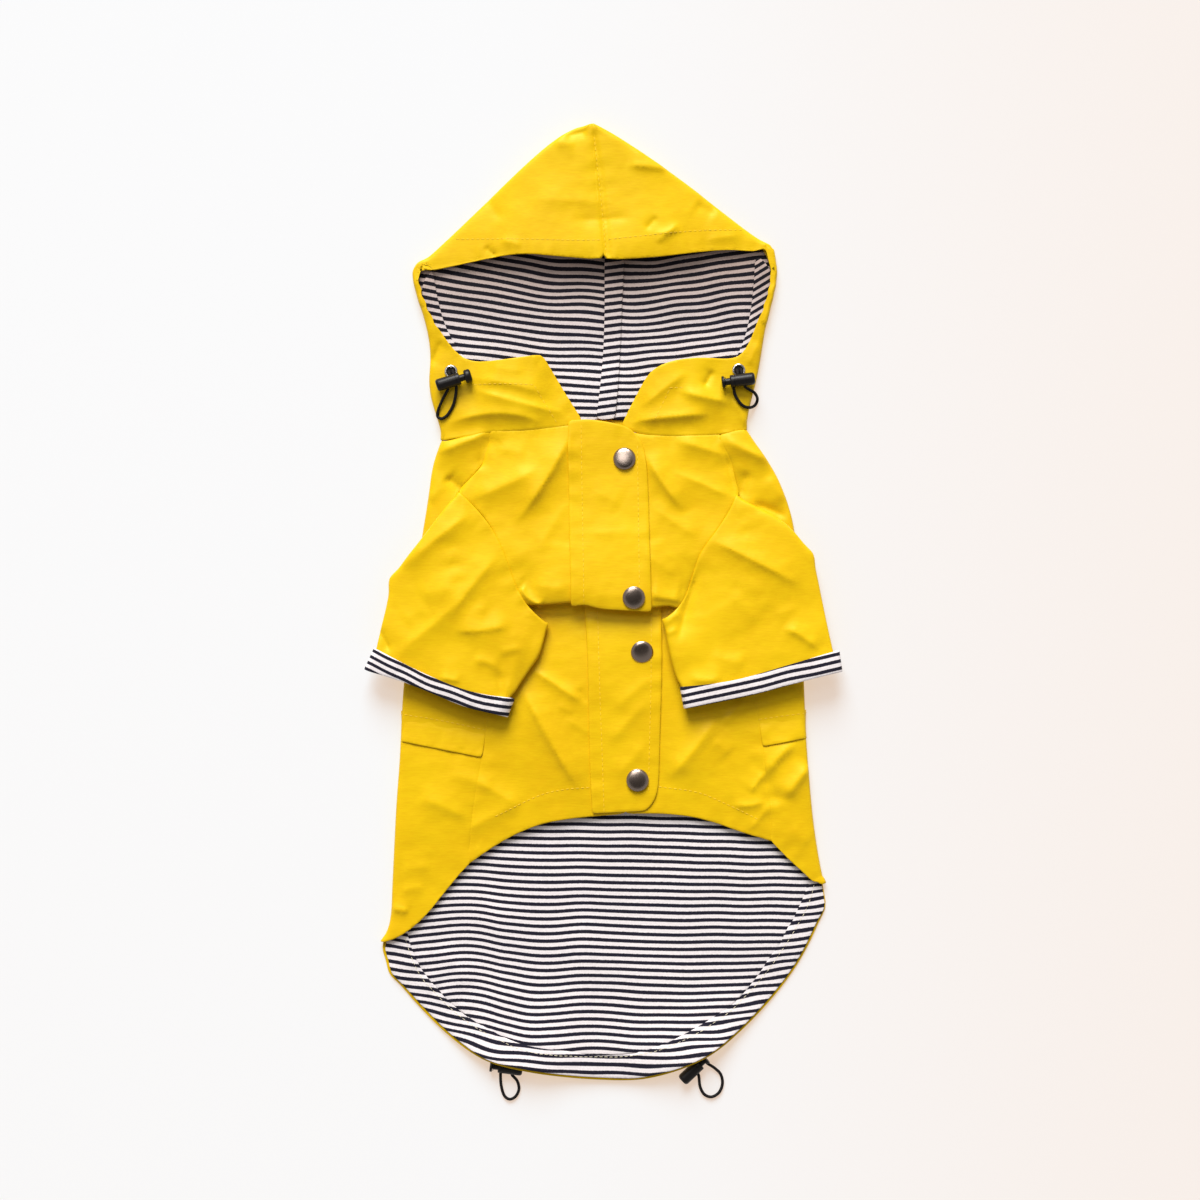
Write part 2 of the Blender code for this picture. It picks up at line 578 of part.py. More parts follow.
def finish(name, colour, roughness, metallic=0.0):
    material = bpy.data.materials.new(name)
    material.use_nodes = True
    shader = material.node_tree.nodes["Principled BSDF"]
    shader.inputs["Base Color"].default_value = (*colour, 1.0)
    shader.inputs["Roughness"].default_value = roughness
    shader.inputs["Metallic"].default_value = metallic
    return material


def turned(name, profile, material, segments, place, axis):
    """A body turned about its own axis from a closed profile of (along, radius) pairs."""
    mesh = bmesh.new()
    rings = []
    for along, radius in profile:
        if radius == 0.0:
            rings.append([mesh.verts.new((0.0, 0.0, along * MM))])
            continue
        ring = []
        for step in range(segments):
            angle = 2 * math.pi * step / segments
            ring.append(mesh.verts.new((radius * MM * math.cos(angle), radius * MM * math.sin(angle), along * MM)))
        rings.append(ring)
    closed = profile[0][1] > 0.0
    pairs = list(zip(rings, rings[1:] + (rings[:1] if closed else [])))
    for first, second in pairs:
        for step in range(segments):
            nxt = (step + 1) % segments
            corners = [first[step % len(first)], first[nxt % len(first)]]
            corners += [second[nxt % len(second)], second[step % len(second)]]
            mesh.faces.new(list(dict.fromkeys(corners)))
    bmesh.ops.recalc_face_normals(mesh, faces=mesh.faces)
    item = add_object(name, mesh, material, smooth=True)
    item.location = Vector(place) * MM
    item.rotation_mode = "QUATERNION"
    item.rotation_quaternion = Vector(axis).to_track_quat("Z", "Y")
    return item


def back_panel(material):
    """One cut: the spine panel, both side folds and the wraps up to the side seams on the front."""
    rows = 24
    left_fold = Rail(columns(BODY_SECTIONS, 0, 1), even=True)
    left_seam = Rail(columns(BODY_SECTIONS, 2, 3), even=True)
    right_fold = Rail(columns(BODY_SECTIONS, 4, 5), even=True)
    right_seam = Rail(columns(BODY_SECTIONS, 6, 7), even=True)
    arcs_left, arcs_right = [], []
    for j in range(rows + 1):
        v = j / rows
        for fold, side, arcs in ((left_fold, 1, arcs_left), (right_fold, -1, arcs_right)):
            edge = fold.at(v)
            low, high = back_z(edge.x, edge.y), front_z(edge.x, edge.y)
            arcs.append(fold_arc(edge, outward(fold, v, side), low, high, SHELL))
    left_top = [arc[-1].to_2d() for arc in arcs_left]
    right_top = [arc[-1].to_2d() for arc in arcs_right]
    columns_back, columns_wrap = len(TAIL_SECTIONS) - 1, 3
    first = fitted(BACK_NECK, left_top[0], right_top[0], columns_back)
    last = fitted(columns(TAIL_SECTIONS, 0, 1), left_top[-1], right_top[-1], columns_back, even=True)
    back = lift(coons(first, last, left_top, right_top), back_z)
    wraps = []
    for top, seam, hem in ((left_top, left_seam, HEM_WRAP_LEFT), (right_top, right_seam, HEM_WRAP_RIGHT)):
        away = Vector((SEAM_GAP if top[0].x > 0 else -SEAM_GAP, 0.0))
        inner = [place + away for place in seam.sample(rows + 1)]
        first = [lerp(top[0], inner[0], i / columns_wrap) for i in range(columns_wrap + 1)]
        last = fitted(hem, top[-1], inner[-1], columns_wrap)
        wraps.append(lift(coons(first, last, top, inner), front_z))
    grid = []
    for j in range(rows + 1):
        row = list(reversed(wraps[0][j])) + list(reversed(arcs_left[j][1:-1])) + back[j]
        row += arcs_right[j][1:-1] + wraps[1][j]
        grid.append(row)
    return wall("back_panel", grid, SHELL, material)


def fitted(points, start, end, steps, even=False):
    """A smooth run of plan points whose ends are moved onto the given ones, even ones alone."""
    places = Rail([Vector(point[:2]) for point in points], even).sample(steps + 1)
    if even:
        return [start] + places[1:-1] + [end]
    shift_start, shift_end = start - places[0], end - places[-1]
    return [place + lerp(shift_start, shift_end, i / steps) for i, place in enumerate(places)]


def plan_piece(name, first, last, left, right, level, steps, thickness, material):
    """A flat piece between four edge curves, laid at a level."""
    across, down = steps
    left_rail, right_rail = Rail(left).sample(down + 1), Rail(right).sample(down + 1)
    first_row = fitted(first, left_rail[0], right_rail[0], across)
    last_row = fitted(last, left_rail[-1], right_rail[-1], across)
    return wall(name, lift(coons(first_row, last_row, left_rail, right_rail), level), thickness, material)


def tail_lining(material):
    stitch = columns(TAIL_SECTIONS, 2, 3)
    outline = [Vector(point) for point in stitch]
    inward = [point + (Vector(TAIL_HEART) - point).normalized() * SEAM_CLEAR for point in outline]
    left = [TAIL_LINING_TOP[0], TAIL_LINING_LEFT, tuple(inward[0])]
    right = [TAIL_LINING_TOP[-1], TAIL_LINING_RIGHT, tuple(inward[-1])]
    return plan_piece("tail_lining", TAIL_LINING_TOP, inward, left, right, lining_z, (16, 9), LINING, material)


def hem_facing(material):
    steps = 42
    outline = Rail(columns(TAIL_SECTIONS, 0, 1), even=True)
    stitch = Rail(columns(TAIL_SECTIONS, 2, 3), even=True)
    outer = []
    inner = stitch.sample(steps + 1)
    for j in range(steps + 1):
        edge = outline.at(j / steps)
        inset = lerp(TAIL_RIM, TAIL_END_RIM, ease(abs(j / steps - 0.5) * 24.0 - 11.0))
        outer.append(edge + (inner[j] - edge).normalized() * inset)
    grid = [[outer[j], lerp(outer[j], inner[j], 0.5), inner[j]] for j in range(steps + 1)]
    return wall("hem_facing", lift(grid, lining_z), LINING, material)


def front(name, centre, neck, chest_edge, fold, belly_centre, belly_edge, hem, material):
    """Chest and belly in one cut: the chest folds under itself, back up, and comes out below as the belly."""
    across, chest_rows, belly_rows = 6, len(chest_edge) - 1, len(belly_edge) - 1
    inner = Rail(centre).sample(chest_rows + 1)
    outer = Rail(chest_edge, even=True).sample(chest_rows + 1)
    top_row = fitted(neck, inner[0], outer[0], across)
    fold_row = fitted(fold, inner[-1], outer[-1], across)
    inset = Vector((0.0, CHEST_FOLD_RADIUS + SHELL / 2))
    chest_end = [point + inset for point in fold_row]
    inner[-1], outer[-1] = chest_end[0], chest_end[-1]
    grid = lift(coons(top_row, chest_end, inner, outer), chest_z)
    high = grid[-1]
    low_step = 2 * CHEST_FOLD_RADIUS
    for step in range(1, ARC_STEPS + 1):
        angle = math.pi * (0.5 - step / ARC_STEPS)
        shift = Vector((0.0, -CHEST_FOLD_RADIUS * math.cos(angle), CHEST_FOLD_RADIUS * (math.sin(angle) - 1.0)))
        grid.append([point + shift for point in high])
    belly_inner = Rail(belly_centre).sample(belly_rows + 1)
    belly_outer = Rail(belly_edge, even=True).sample(belly_rows + 1)
    start = [lerp(belly_inner[0], belly_outer[0], i / across) for i in range(across + 1)]
    turn_high = [Vector((p.x, p.y, high[i].z - low_step)) for i, p in enumerate(start)]
    grid.append(turn_high)
    turn_low = lift([start], front_z)[0]
    for step in range(1, ARC_STEPS):
        angle = math.pi * (0.5 - step / ARC_STEPS)
        row = []
        for a, b in zip(turn_high, turn_low):
            radius = (a.z - b.z) / 2
            row.append(Vector((a.x, a.y + radius * math.cos(angle), (a.z + b.z) / 2 + radius * math.sin(angle))))
        grid.append(row)
    hem_row = fitted(hem, belly_inner[-1], belly_outer[-1], across)
    grid += lift(coons(start, hem_row, belly_inner, belly_outer), front_z)
    return wall(name, grid, SHELL, material)


def placket(name, sections, top, level, rows, material):
    left, right = columns(sections, 0, 1), columns(sections, 2, 3)
    last = [left[-1], right[-1]]
    return plan_piece(name, top, last, left, right, level, (6, rows), LINING, material)


def hood_half(name, sections, neck_edge, side, material):
    """Back layer from the centre seam, the fold round the outline, then the front layer to its free edge."""
    rows = len(sections) - 1
    outline = Rail(columns(sections, 0, 1), even=True)
    seam = Rail(HOOD_BACK_SEAM)
    low_y, high_y = sections[0][1], sections[-1][1]
    across_back, across_front = 4, 5
    grid = []
    for j, (_, _, inner_x, inner_y) in enumerate(sections):
        v = j / rows
        edge = outline.at(v)
        low, high = back_z(edge.x, edge.y), front_z(edge.x, edge.y)
        arc = fold_arc(edge, outward(outline, v, side), low, high, SHELL)
        centre = seam.at((edge.y - low_y) / (high_y - low_y)) + Vector((SEAM_CLEAR / 2 * side, 0.0))
        start = arc[0].to_2d()
        back = [lerp(centre, start, i / across_back) for i in range(across_back + 1)]
        inner = Vector((inner_x, inner_y))
        ahead = [lerp(start, inner, i / across_front) for i in range(across_front + 1)]
        if j == 0:
            curved = fitted(neck_edge, start, inner, across_front)
            bends = [a - b for a, b in zip(curved, ahead)]
        fade = clamp(1.0 - j / NECK_FADE_ROWS)
        ahead = [place + bend * fade for place, bend in zip(ahead, bends)]
        grid.append(lift([back], back_z)[0] + arc[1:-1] + lift([ahead], front_z)[0])
    return wall(name, grid, SHELL, material)


def hood_lining(name, sections, side, material):
    rows, across = 10, 7
    outline = Rail([row[:2] for row in sections if row[1] < LINING_TOP_Y])
    outer = []
    for j in range(rows + 1):
        share = j / rows
        edge = outline.at(share)
        outer.append(edge - outward(outline, share, side) * LINING_INSET)
    outer[0].y = LINING_LOW_Y
    inner = Rail([(x + SEAM_CLEAR / 2 * side, y) for x, y in LINING_CENTRE]).sample(rows + 1)
    grid = [[lerp(outer[j], inner[j], i / across) for i in range(across + 1)] for j in range(rows + 1)]
    return wall(name, lift(grid, lining_z), LINING, material)


def hood_facing(name, sections, line, side, material):
    rows = 9
    outline = Rail([row[:2] for row in sections if FACING_LOW_Y < row[1] < FACING_TOP_Y[side]])
    inner = Rail(line).sample(rows + 1)
    outer = [outline.at(j / rows) - outward(outline, j / rows, side) * LINING_INSET for j in range(rows + 1)]
    grid = [[outer[j], lerp(outer[j], inner[j], 0.5), inner[j]] for j in range(rows + 1)]
    return wall(name, lift(grid, trim_z), LINING, material)


def hood_tape(material):
    left = [(row[0], row[2]) for row in TAPE_SECTIONS]
    right = [(row[1], row[2]) for row in TAPE_SECTIONS]
    return plan_piece("hood_centre_tape", [left[0], right[0]], [left[-1], right[-1]], left, right, trim_z,
                      (2, 8), LINING, material)


def tube(name, top_plan, under_plan, rails, levels, thickness, material):
    """A flattened tube: upper layer, inner fold, under layer, outer fold, joined into a ring."""
    upper_z, under_z = levels
    outer_rail, inner_rail, inner_side = rails
    rows = len(top_plan) - 1
    grid = []
    for j in range(rows + 1):
        v = j / rows
        arcs = []
        for rail, side in ((inner_rail, inner_side), (outer_rail, -inner_side)):
            edge = rail.at(v)
            arcs.append(fold_arc(edge, outward(rail, v, side), under_z(edge.x, edge.y, v),
                                 upper_z(edge.x, edge.y, v), thickness))
        row = [Vector((p.x, p.y, upper_z(p.x, p.y, v))) for p in top_plan[j]]
        row += list(reversed(arcs[0][1:-1]))
        row += [Vector((p.x, p.y, under_z(p.x, p.y, v))) for p in reversed(under_plan[j])]
        row += arcs[1][1:-1]
        grid.append(row)
    return wall(name, grid, thickness, material, ring=True)


def tube_plans(outer, inner, start, under, end, inner_side, levels, thickness, steps):
    """Plans of the two layers of a tube, drawn in from its folds by their radius."""
    rows, across = steps
    upper_z, under_z = levels
    outer_rail, inner_rail = Rail(outer), Rail(inner)
    edges = []
    for rail, side in ((outer_rail, -inner_side), (inner_rail, inner_side)):
        run = []
        for j in range(rows + 1):
            v = j / rows
            edge = rail.at(v)
            radius = (upper_z(edge.x, edge.y, v) - under_z(edge.x, edge.y, v)) / 2
            run.append(edge - outward(rail, v, side) * (radius + thickness / 2))
        edges.append(run)
    top_first = fitted(start, edges[0][0], edges[1][0], across)
    under_first = fitted(under, edges[0][0], edges[1][0], across)
    last = fitted(end, edges[0][-1], edges[1][-1], across)
    top_plan = coons(top_first, last, edges[0], edges[1])
    under_plan = coons(under_first, last, edges[0], edges[1])
    return top_plan, under_plan, (outer_rail, inner_rail, inner_side)


def sleeve(name, lines, inner_side, material):
    def under(x, y, v):
        return sleeve_under_z(x, y) + CUFF_STEP * ease((v - SLEEVE_UNDER_TURN) / SLEEVE_END_TURN)

    def upper(x, y, v):
        slim = 1.0 - SLEEVE_END_SLIM * ease((v - SLEEVE_UPPER_TURN) / SLEEVE_END_TURN)
        puff = SLEEVE_PUFF * math.sin(math.pi * clamp(v / SLEEVE_PUFF_END)) ** 1.5
        return under(x, y, v) + SLEEVE_HEIGHT * slim + puff

    levels = (upper, under)
    plans = tube_plans(lines["outer"], lines["inner"], lines["armhole"], lines["under"], lines["end"],
                       inner_side, levels, SHELL, (11, 7))
    return tube(name, plans[0], plans[1], plans[2], levels, SHELL, material)


def cuff(name, lines, inner_side, material):
    def under(x, y, v):
        return sleeve_under_z(x, y)

    def upper(x, y, v):
        return under(x, y, v) + CUFF_HEIGHT

    levels = (upper, under)
    outer = [lines["top"][0], lines["end"][0]]
    inner = [lines["top"][-1], lines["end"][-1]]
    plans = tube_plans(outer, inner, lines["top"], lines["top"], lines["end"], inner_side, levels, LINING, (2, 8))
    return tube(name, plans[0], plans[1], plans[2], levels, LINING, material)


def pocket_flap(name, lines, side, material):
    rows = 2
    seam, fold = Rail(lines["seam"]), Rail(lines["fold"])
    grid = []
    for j in range(rows + 1):
        v = j / rows
        edge = fold.at(v)
        arc = fold_arc(edge, outward(fold, v, side), LINING / 2, front_z(edge.x, edge.y) + LINING_STEP, LINING)
        start = arc[0].to_2d()
        end = Vector((lines["back"], lerp(*FLAP_BACK_Y, v)))
        back = [lerp(end, start, i / 3) for i in range(4)]
        ahead = [lerp(start, seam.at(v), i / 4) for i in range(5)]
        row = [Vector((p.x, p.y, LINING / 2)) for p in back]
        row += arc[1:-1] + lift([ahead], placket_lower_z)[0]
        grid.append(row)
    return wall(name, grid, LINING, material)


def seat(level, x, y, radius):
    """Height of the highest cloth under a round piece, with its clearance."""
    ring = [(x, y)]
    for step in range(12):
        angle = math.pi * step / 6
        ring.append((x + radius * math.cos(angle), y + radius * math.sin(angle)))
    return max(level(px, py) for px, py in ring) + SEAM_GAP


def snap(name, x, y, material):
    level = placket_upper_z if y > 0 else placket_lower_z
    base = seat(level, x, y, SNAP_RADIUS) + LINING / 2
    r, h = SNAP_RADIUS, SNAP_HEIGHT
    profile = [(0.0, 0.0), (0.0, 0.93 * r), (0.35 * h, r), (0.7 * h, 0.94 * r), (0.92 * h, 0.72 * r),
               (1.0 * h, 0.4 * r), (1.0 * h, 0.0)]
    return turned(name, profile, material, 20, (x, y, base), (0.0, 0.0, 1.0))


def eyelet(name, x, y, material):
    base = seat(front_z, x, y, EYELET_RADIUS) + SHELL / 2
    profile = [(0.0, EYELET_RADIUS), (EYELET_HEIGHT * 0.6, EYELET_RADIUS), (EYELET_HEIGHT, EYELET_RADIUS - EYELET_ROLL),
               (EYELET_HEIGHT, EYELET_HOLE + 0.4), (EYELET_HEIGHT * 0.5, EYELET_HOLE), (0.0, EYELET_HOLE)]
    turned(name, profile, material, 16, (x, y, base), (0.0, 0.0, 1.0))
    return base


def lock_height(place):
    x, y, _, hole = place
    if hole is None:
        return BARREL_RADIUS + SURFACE_CLEARANCE
    return seat(front_z, x, y, LOCK_SEAT_RADIUS) + SHELL / 2 + BARREL_RADIUS + LOCK_CLEARANCE


def cord_lock(name, place, material):
    """Barrel and plunger on one axis; the plunger's origin is the barrel's mouth."""
    x, y, angle, _ = place
    axis = Vector((math.cos(math.radians(angle)), math.sin(math.radians(angle)), 0.0))
    centre = Vector((x, y, lock_height(place)))
    mouth = centre + axis * ((BARREL_LENGTH - PLUNGER_REACH) / 2)
    heel = mouth - axis * BARREL_LENGTH
    r = BARREL_RADIUS
    barrel = [(0.0, 0.0), (0.0, r - 0.9), (0.3, r - 0.3), (1.0, r), (BARREL_LENGTH - 0.5, r),
              (BARREL_LENGTH, r - 0.4), (BARREL_LENGTH, BORE_RADIUS), (BARREL_LENGTH - BORE_DEPTH, BORE_RADIUS),
              (BARREL_LENGTH - BORE_DEPTH, 0.0)]
    turned(name + "_barrel", barrel, material, 16, heel, axis)
    head = PLUNGER_REACH - PLUNGER_HEAD
    inside = BORE_DEPTH - PLUNGER_STROKE - SEAM_GAP
    plunger = [(-inside, 0.0), (-inside, PLUNGER_STEM), (head, PLUNGER_STEM), (head, PLUNGER_HEAD_RADIUS - 0.3),
               (head + 0.3, PLUNGER_HEAD_RADIUS), (head + PLUNGER_HEAD - 0.3, PLUNGER_HEAD_RADIUS),
               (PLUNGER_REACH, PLUNGER_HEAD_RADIUS - 0.4), (PLUNGER_REACH, 0.0)]
    turned(name + "_plunger", plunger, material, 16, mouth, axis)


def cord(name, points, material, count=CORD_POINTS):
    """A tube through a smooth curve over the given points."""
    data = bpy.data.curves.new(name, "CURVE")
    data.dimensions = "3D"
    data.bevel_depth = CORD_RADIUS * MM
    data.bevel_resolution = 2
    data.resolution_u = 1
    data.render_resolution_u = 0
    data.use_fill_caps = True
    spline = data.splines.new("POLY")
    places = Rail(points).sample(count)
    spline.points.add(len(places) - 1)
    for point, place in zip(spline.points, places):
        point.co = (*(place * MM), 1.0)
    data.materials.append(material)
    item = bpy.data.objects.new(name, data)
    bpy.context.scene.collection.objects.link(item)
    return item


def cloth_top(x, y):
    """Top of the hood's front cloth under a loop, or the surface it all lies on past the tail."""
    if y < 0:
        return 0.0
    return front_z(x, y) + SHELL / 2


def loop(name, points, place, material):
    """The free loop leaves the barrel's side, drops to the cloth and comes back."""
    start_z = lock_height(place) - LOOP_START_DROP
    last = len(points) - 1
    route = []
    for index, (x, y) in enumerate(points):
        ends = min(index, last - index)
        rest = cloth_top(x, y) + CORD_RADIUS + SEAM_GAP
        route.append((x, y, lerp(start_z, rest, ease(ends / LOOP_DROP_POINTS))))
    return cord(name, route, material)


def neck(name, place, offset, base, material):
    """One strand of the cord from the eyelet up to the barrel."""
    x, y, angle, hole = place
    across = Vector((math.cos(math.radians(angle)), math.sin(math.radians(angle))))
    if across.x < 0:
        across = -across
    start = Vector(hole) + across * offset + Vector((0.0, 0.3))
    top = lock_height(place)
    meet = Vector((x, y)) + across * (start - Vector((x, y))).dot(across)
    away = Vector((-across.y, across.x))
    end = meet + away * (BARREL_RADIUS + SEAM_GAP + 0.15)
    route = [(start.x, start.y, base + 0.15), (start.x, start.y, base + 1.4),
             (lerp(start.x, end.x, 0.35), lerp(start.y, end.y, 0.35), lerp(base + 1.4, top, 0.7)),
             (end.x, end.y, top)]
    return cord(name, route, material, count=5)


def main():
    for item in list(bpy.data.objects):
        bpy.data.objects.remove(item, do_unlink=True)
    yellow = finish("coated_shell_yellow", YELLOW, 0.42)
    striped = finish("striped_lining", STRIPED, 0.85)
    black = finish("black_plastic", BLACK, 0.4)
    elastic = finish("black_elastic", BLACK, 0.8)
    gunmetal = finish("gunmetal", GUNMETAL, 0.32, 1.0)
    silver = finish("silver", SILVER, 0.25, 1.0)

    back_panel(yellow)
    tail_lining(striped)
    hem_facing(striped)
    front("front_left", FRONT_CENTRE, NECK_LEFT, CHEST_EDGE_LEFT, CHEST_FOLD_LEFT, BELLY_CENTRE,
          BELLY_EDGE_LEFT, HEM_LEFT, yellow)
    beside = [(x + 0.6, y) for x, y in FRONT_CENTRE]
    belly_beside = [(x + 0.6, y) for x, y in BELLY_CENTRE]
    front("front_right", beside, NECK_RIGHT, CHEST_EDGE_RIGHT, CHEST_FOLD_RIGHT, belly_beside,
          BELLY_EDGE_RIGHT, HEM_RIGHT, yellow)
    placket("placket_upper", PLACKET_UPPER, PLACKET_TOP, placket_upper_z, 14, yellow)
    placket("placket_lower", PLACKET_LOWER, [PLACKET_LOWER[0][:2], PLACKET_LOWER[0][2:]], placket_lower_z,
            14, yellow)
    hood_half("hood_left", HOOD_LEFT_SECTIONS, HOOD_NECK_LEFT, -1, yellow)
    hood_half("hood_right", HOOD_RIGHT_SECTIONS, HOOD_NECK_RIGHT, 1, yellow)
    hood_lining("hood_lining_left", HOOD_LEFT_SECTIONS, -1, striped)
    hood_lining("hood_lining_right", HOOD_RIGHT_SECTIONS, 1, striped)
    hood_facing("hood_facing_left", HOOD_LEFT_SECTIONS, FACING_LINE_LEFT, -1, striped)
    hood_facing("hood_facing_right", HOOD_RIGHT_SECTIONS, FACING_LINE_RIGHT, 1, striped)
    hood_tape(striped)
    sleeve("sleeve_left", SLEEVE_LEFT, -1, yellow)
    sleeve("sleeve_right", SLEEVE_RIGHT, 1, yellow)
    cuff("cuff_left", CUFF_LEFT, -1, striped)
    cuff("cuff_right", CUFF_RIGHT, 1, striped)
    pocket_flap("pocket_flap_left", FLAP_LEFT, 1, yellow)
    pocket_flap("pocket_flap_right", FLAP_RIGHT, -1, yellow)
    for index, (x, y) in enumerate(SNAPS):
        snap(f"snap_{index + 1}", x, y, gunmetal)
    for name, place in LOCKS.items():
        cord_lock("cord_lock_" + name, place, black)
        loop("cord_loop_" + name, LOOPS[name], place, elastic)
        if place[3] is not None:
            base = eyelet("eyelet_" + name, *place[3], silver)
            for strand, offset in (("a", -STRAND_OFFSET), ("b", STRAND_OFFSET)):
                neck(f"cord_neck_{name}_{strand}", place, offset, base, elastic)


main()
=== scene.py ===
"""Dog raincoat laid flat on its back, front up: coated shell, striped lining, stitching and hardware.

Plan lengths are millimetres: X to the right, Y toward the hood, Z up from the surface it lies on.
"""
from __future__ import annotations

import logging
import math
from dataclasses import dataclass, field
from enum import Enum

import bmesh
import bpy
import numpy as np
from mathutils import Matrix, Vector
from mathutils.bvhtree import BVHTree
from mathutils.kdtree import KDTree


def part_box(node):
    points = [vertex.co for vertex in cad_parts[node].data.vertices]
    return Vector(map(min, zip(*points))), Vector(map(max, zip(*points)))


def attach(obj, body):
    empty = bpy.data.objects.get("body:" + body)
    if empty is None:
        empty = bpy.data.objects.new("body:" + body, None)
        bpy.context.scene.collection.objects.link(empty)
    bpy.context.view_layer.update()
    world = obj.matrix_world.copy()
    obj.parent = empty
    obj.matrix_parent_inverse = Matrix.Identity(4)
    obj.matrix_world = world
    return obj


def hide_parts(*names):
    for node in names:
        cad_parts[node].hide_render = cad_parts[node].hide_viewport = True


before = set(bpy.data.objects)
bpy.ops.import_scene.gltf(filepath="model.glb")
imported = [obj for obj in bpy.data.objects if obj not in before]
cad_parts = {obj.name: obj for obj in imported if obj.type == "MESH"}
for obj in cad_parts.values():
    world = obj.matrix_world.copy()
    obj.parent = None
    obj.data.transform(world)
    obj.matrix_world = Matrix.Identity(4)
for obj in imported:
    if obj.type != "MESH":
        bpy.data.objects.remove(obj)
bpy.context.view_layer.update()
MM = 0.001
BODY = "garment"
LOG = logging.getLogger("raincoat")
UP = Vector((0.0, 0.0, 1.0))

# A cloth wall: corners welded, flat triangles paired, sharp edges held a little, long edges cut.
WELD = 0.002 * MM
PAIR_ANGLE = 0.6
PAIR_SHAPE = 1.2
SHARP_ANGLE = math.radians(58)
SHARP_CREASE = 0.42
CUT_ROUNDS = 4
FACING_UP = 0.25

# Hardware: the turn between two faces that stays sharp, and how finely a cord's or a seam's way is read.
SHARP_TURN = math.radians(38)
ROUTE_STEPS = 24

# The edges of cloth: the turn between two faces that makes one, and how far inward its growth dies away.
RIM_ANGLE = math.radians(32)
EDGE_REACH = 4.0
PUCKER_LENGTH = 11.0

# The creases of cloth: how softly one ends at the layers above and below, and on a piece with a flat back.
LAYER_BLEND = 0.8
UPPER_LEAD = 1.5
UPPER_BLEND = 2.5
RIDGE_LEVEL = 0.64

Plan = tuple[float, float]


class Held(Enum):
    """How a piece of cloth is held in the laid coat."""

    LAID = "laid"
    FOLDED = "folded"


def linear(code: str) -> tuple[float, float, float, float]:
    """Turns an sRGB hex colour into linear light.

    Args:
        code: Six hex digits, with or without a leading #.

    Returns:
        Red, green, blue and full alpha.
    """
    digits = code.lstrip("#")
    shares = [int(digits[place:place + 2], 16) / 255 for place in (0, 2, 4)]
    lights = [share / 12.92 if share <= 0.04045 else ((share + 0.055) / 1.055) ** 2.4 for share in shares]
    return (*lights, 1.0)


def add_node(tree: bpy.types.NodeTree, kind: str, inputs: dict | None = None,
             **settings: object) -> bpy.types.Node:
    """Adds a node with its settings, its fixed values and its links.

    Args:
        tree: The node tree that gets the node.
        kind: The node's type name.
        inputs: Input names or numbers, each with a value or the socket that feeds it.
        **settings: The node's own properties.

    Returns:
        The new node.
    """
    node = tree.nodes.new(kind)
    for name, value in settings.items():
        setattr(node, name, value)
    for key, value in (inputs or {}).items():
        if isinstance(value, bpy.types.NodeSocket):
            tree.links.new(value, node.inputs[key])
        else:
            node.inputs[key].default_value = value
    return node


def blank_finish(name: str) -> tuple[bpy.types.Material, bpy.types.NodeTree, bpy.types.NodeSocket]:
    """Starts a material.

    Args:
        name: Its name.

    Returns:
        The material, its node tree, and the socket of the places that its patterns are drawn by.
    """
    finish = bpy.data.materials.new(name)
    finish.use_nodes = True
    tree = finish.node_tree
    return finish, tree, add_node(tree, "ShaderNodeTexCoord").outputs["Object"]


def sum_of(tree: bpy.types.NodeTree, operation: str, *values: object) -> bpy.types.NodeSocket:
    """Adds a node that works out a sum on sockets and numbers, and gives its result."""
    return add_node(tree, "ShaderNodeMath", dict(enumerate(values)), operation=operation).outputs[0]


def spread(tree: bpy.types.NodeTree, value: bpy.types.NodeSocket, low: float, high: float,
           **settings: object) -> bpy.types.NodeSocket:
    """Adds a node that stretches the values from low to high over 0 to 1, and gives its result."""
    limits = {"Value": value, "From Min": low, "From Max": high}
    return add_node(tree, "ShaderNodeMapRange", limits, **settings).outputs[0]


def mixed(tree: bpy.types.NodeTree, share: bpy.types.NodeSocket, first: object, second: object,
          **settings: object) -> bpy.types.NodeSocket:
    """Adds a node that mixes two colours.

    Args:
        tree: The node tree that gets the node.
        share: The share of the second colour.
        first: The first colour, a hex code or a socket.
        second: The second colour.
        **settings: The node's own properties.

    Returns:
        The mixed colour.
    """
    sides = [linear(side) if isinstance(side, str) else side for side in (first, second)]
    inputs = {"Factor": share, "A": sides[0], "B": sides[1]}
    return add_node(tree, "ShaderNodeMix", inputs, data_type="RGBA", **settings).outputs["Result"]


def shade(tree: bpy.types.NodeTree, colour: bpy.types.NodeSocket, values: dict,
          grain: bpy.types.NodeSocket | None = None, strength: float = 0.5, depth_mm: float = 0.0) -> None:
    """Sets up a material's shader.

    Args:
        tree: The material's node tree.
        colour: Its colour.
        values: The shader's input names, each with its uniform value.
        grain: The height of its grain.
        strength: How strongly the grain shows.
        depth_mm: How deep the grain is.
    """
    shader = tree.nodes["Principled BSDF"]
    tree.links.new(colour, shader.inputs["Base Color"])
    if grain is not None:
        bump = add_node(tree, "ShaderNodeBump", {
            "Height": grain, "Strength": strength, "Distance": depth_mm * MM})
        tree.links.new(bump.outputs[0], shader.inputs["Normal"])
    for name, value in values.items():
        shader.inputs[name].default_value = value


def points_of(mesh: bpy.types.Mesh) -> np.ndarray:
    """The places of a mesh's points in millimetres, one in each row."""
    places = np.empty(len(mesh.vertices) * 3)
    mesh.vertices.foreach_get("co", places)
    return places.reshape(-1, 3) / MM


def ease(value: np.ndarray) -> np.ndarray:
    """A smooth step from 0 to 1."""
    share = np.clip(value, 0.0, 1.0)
    return share * share * (3.0 - 2.0 * share)


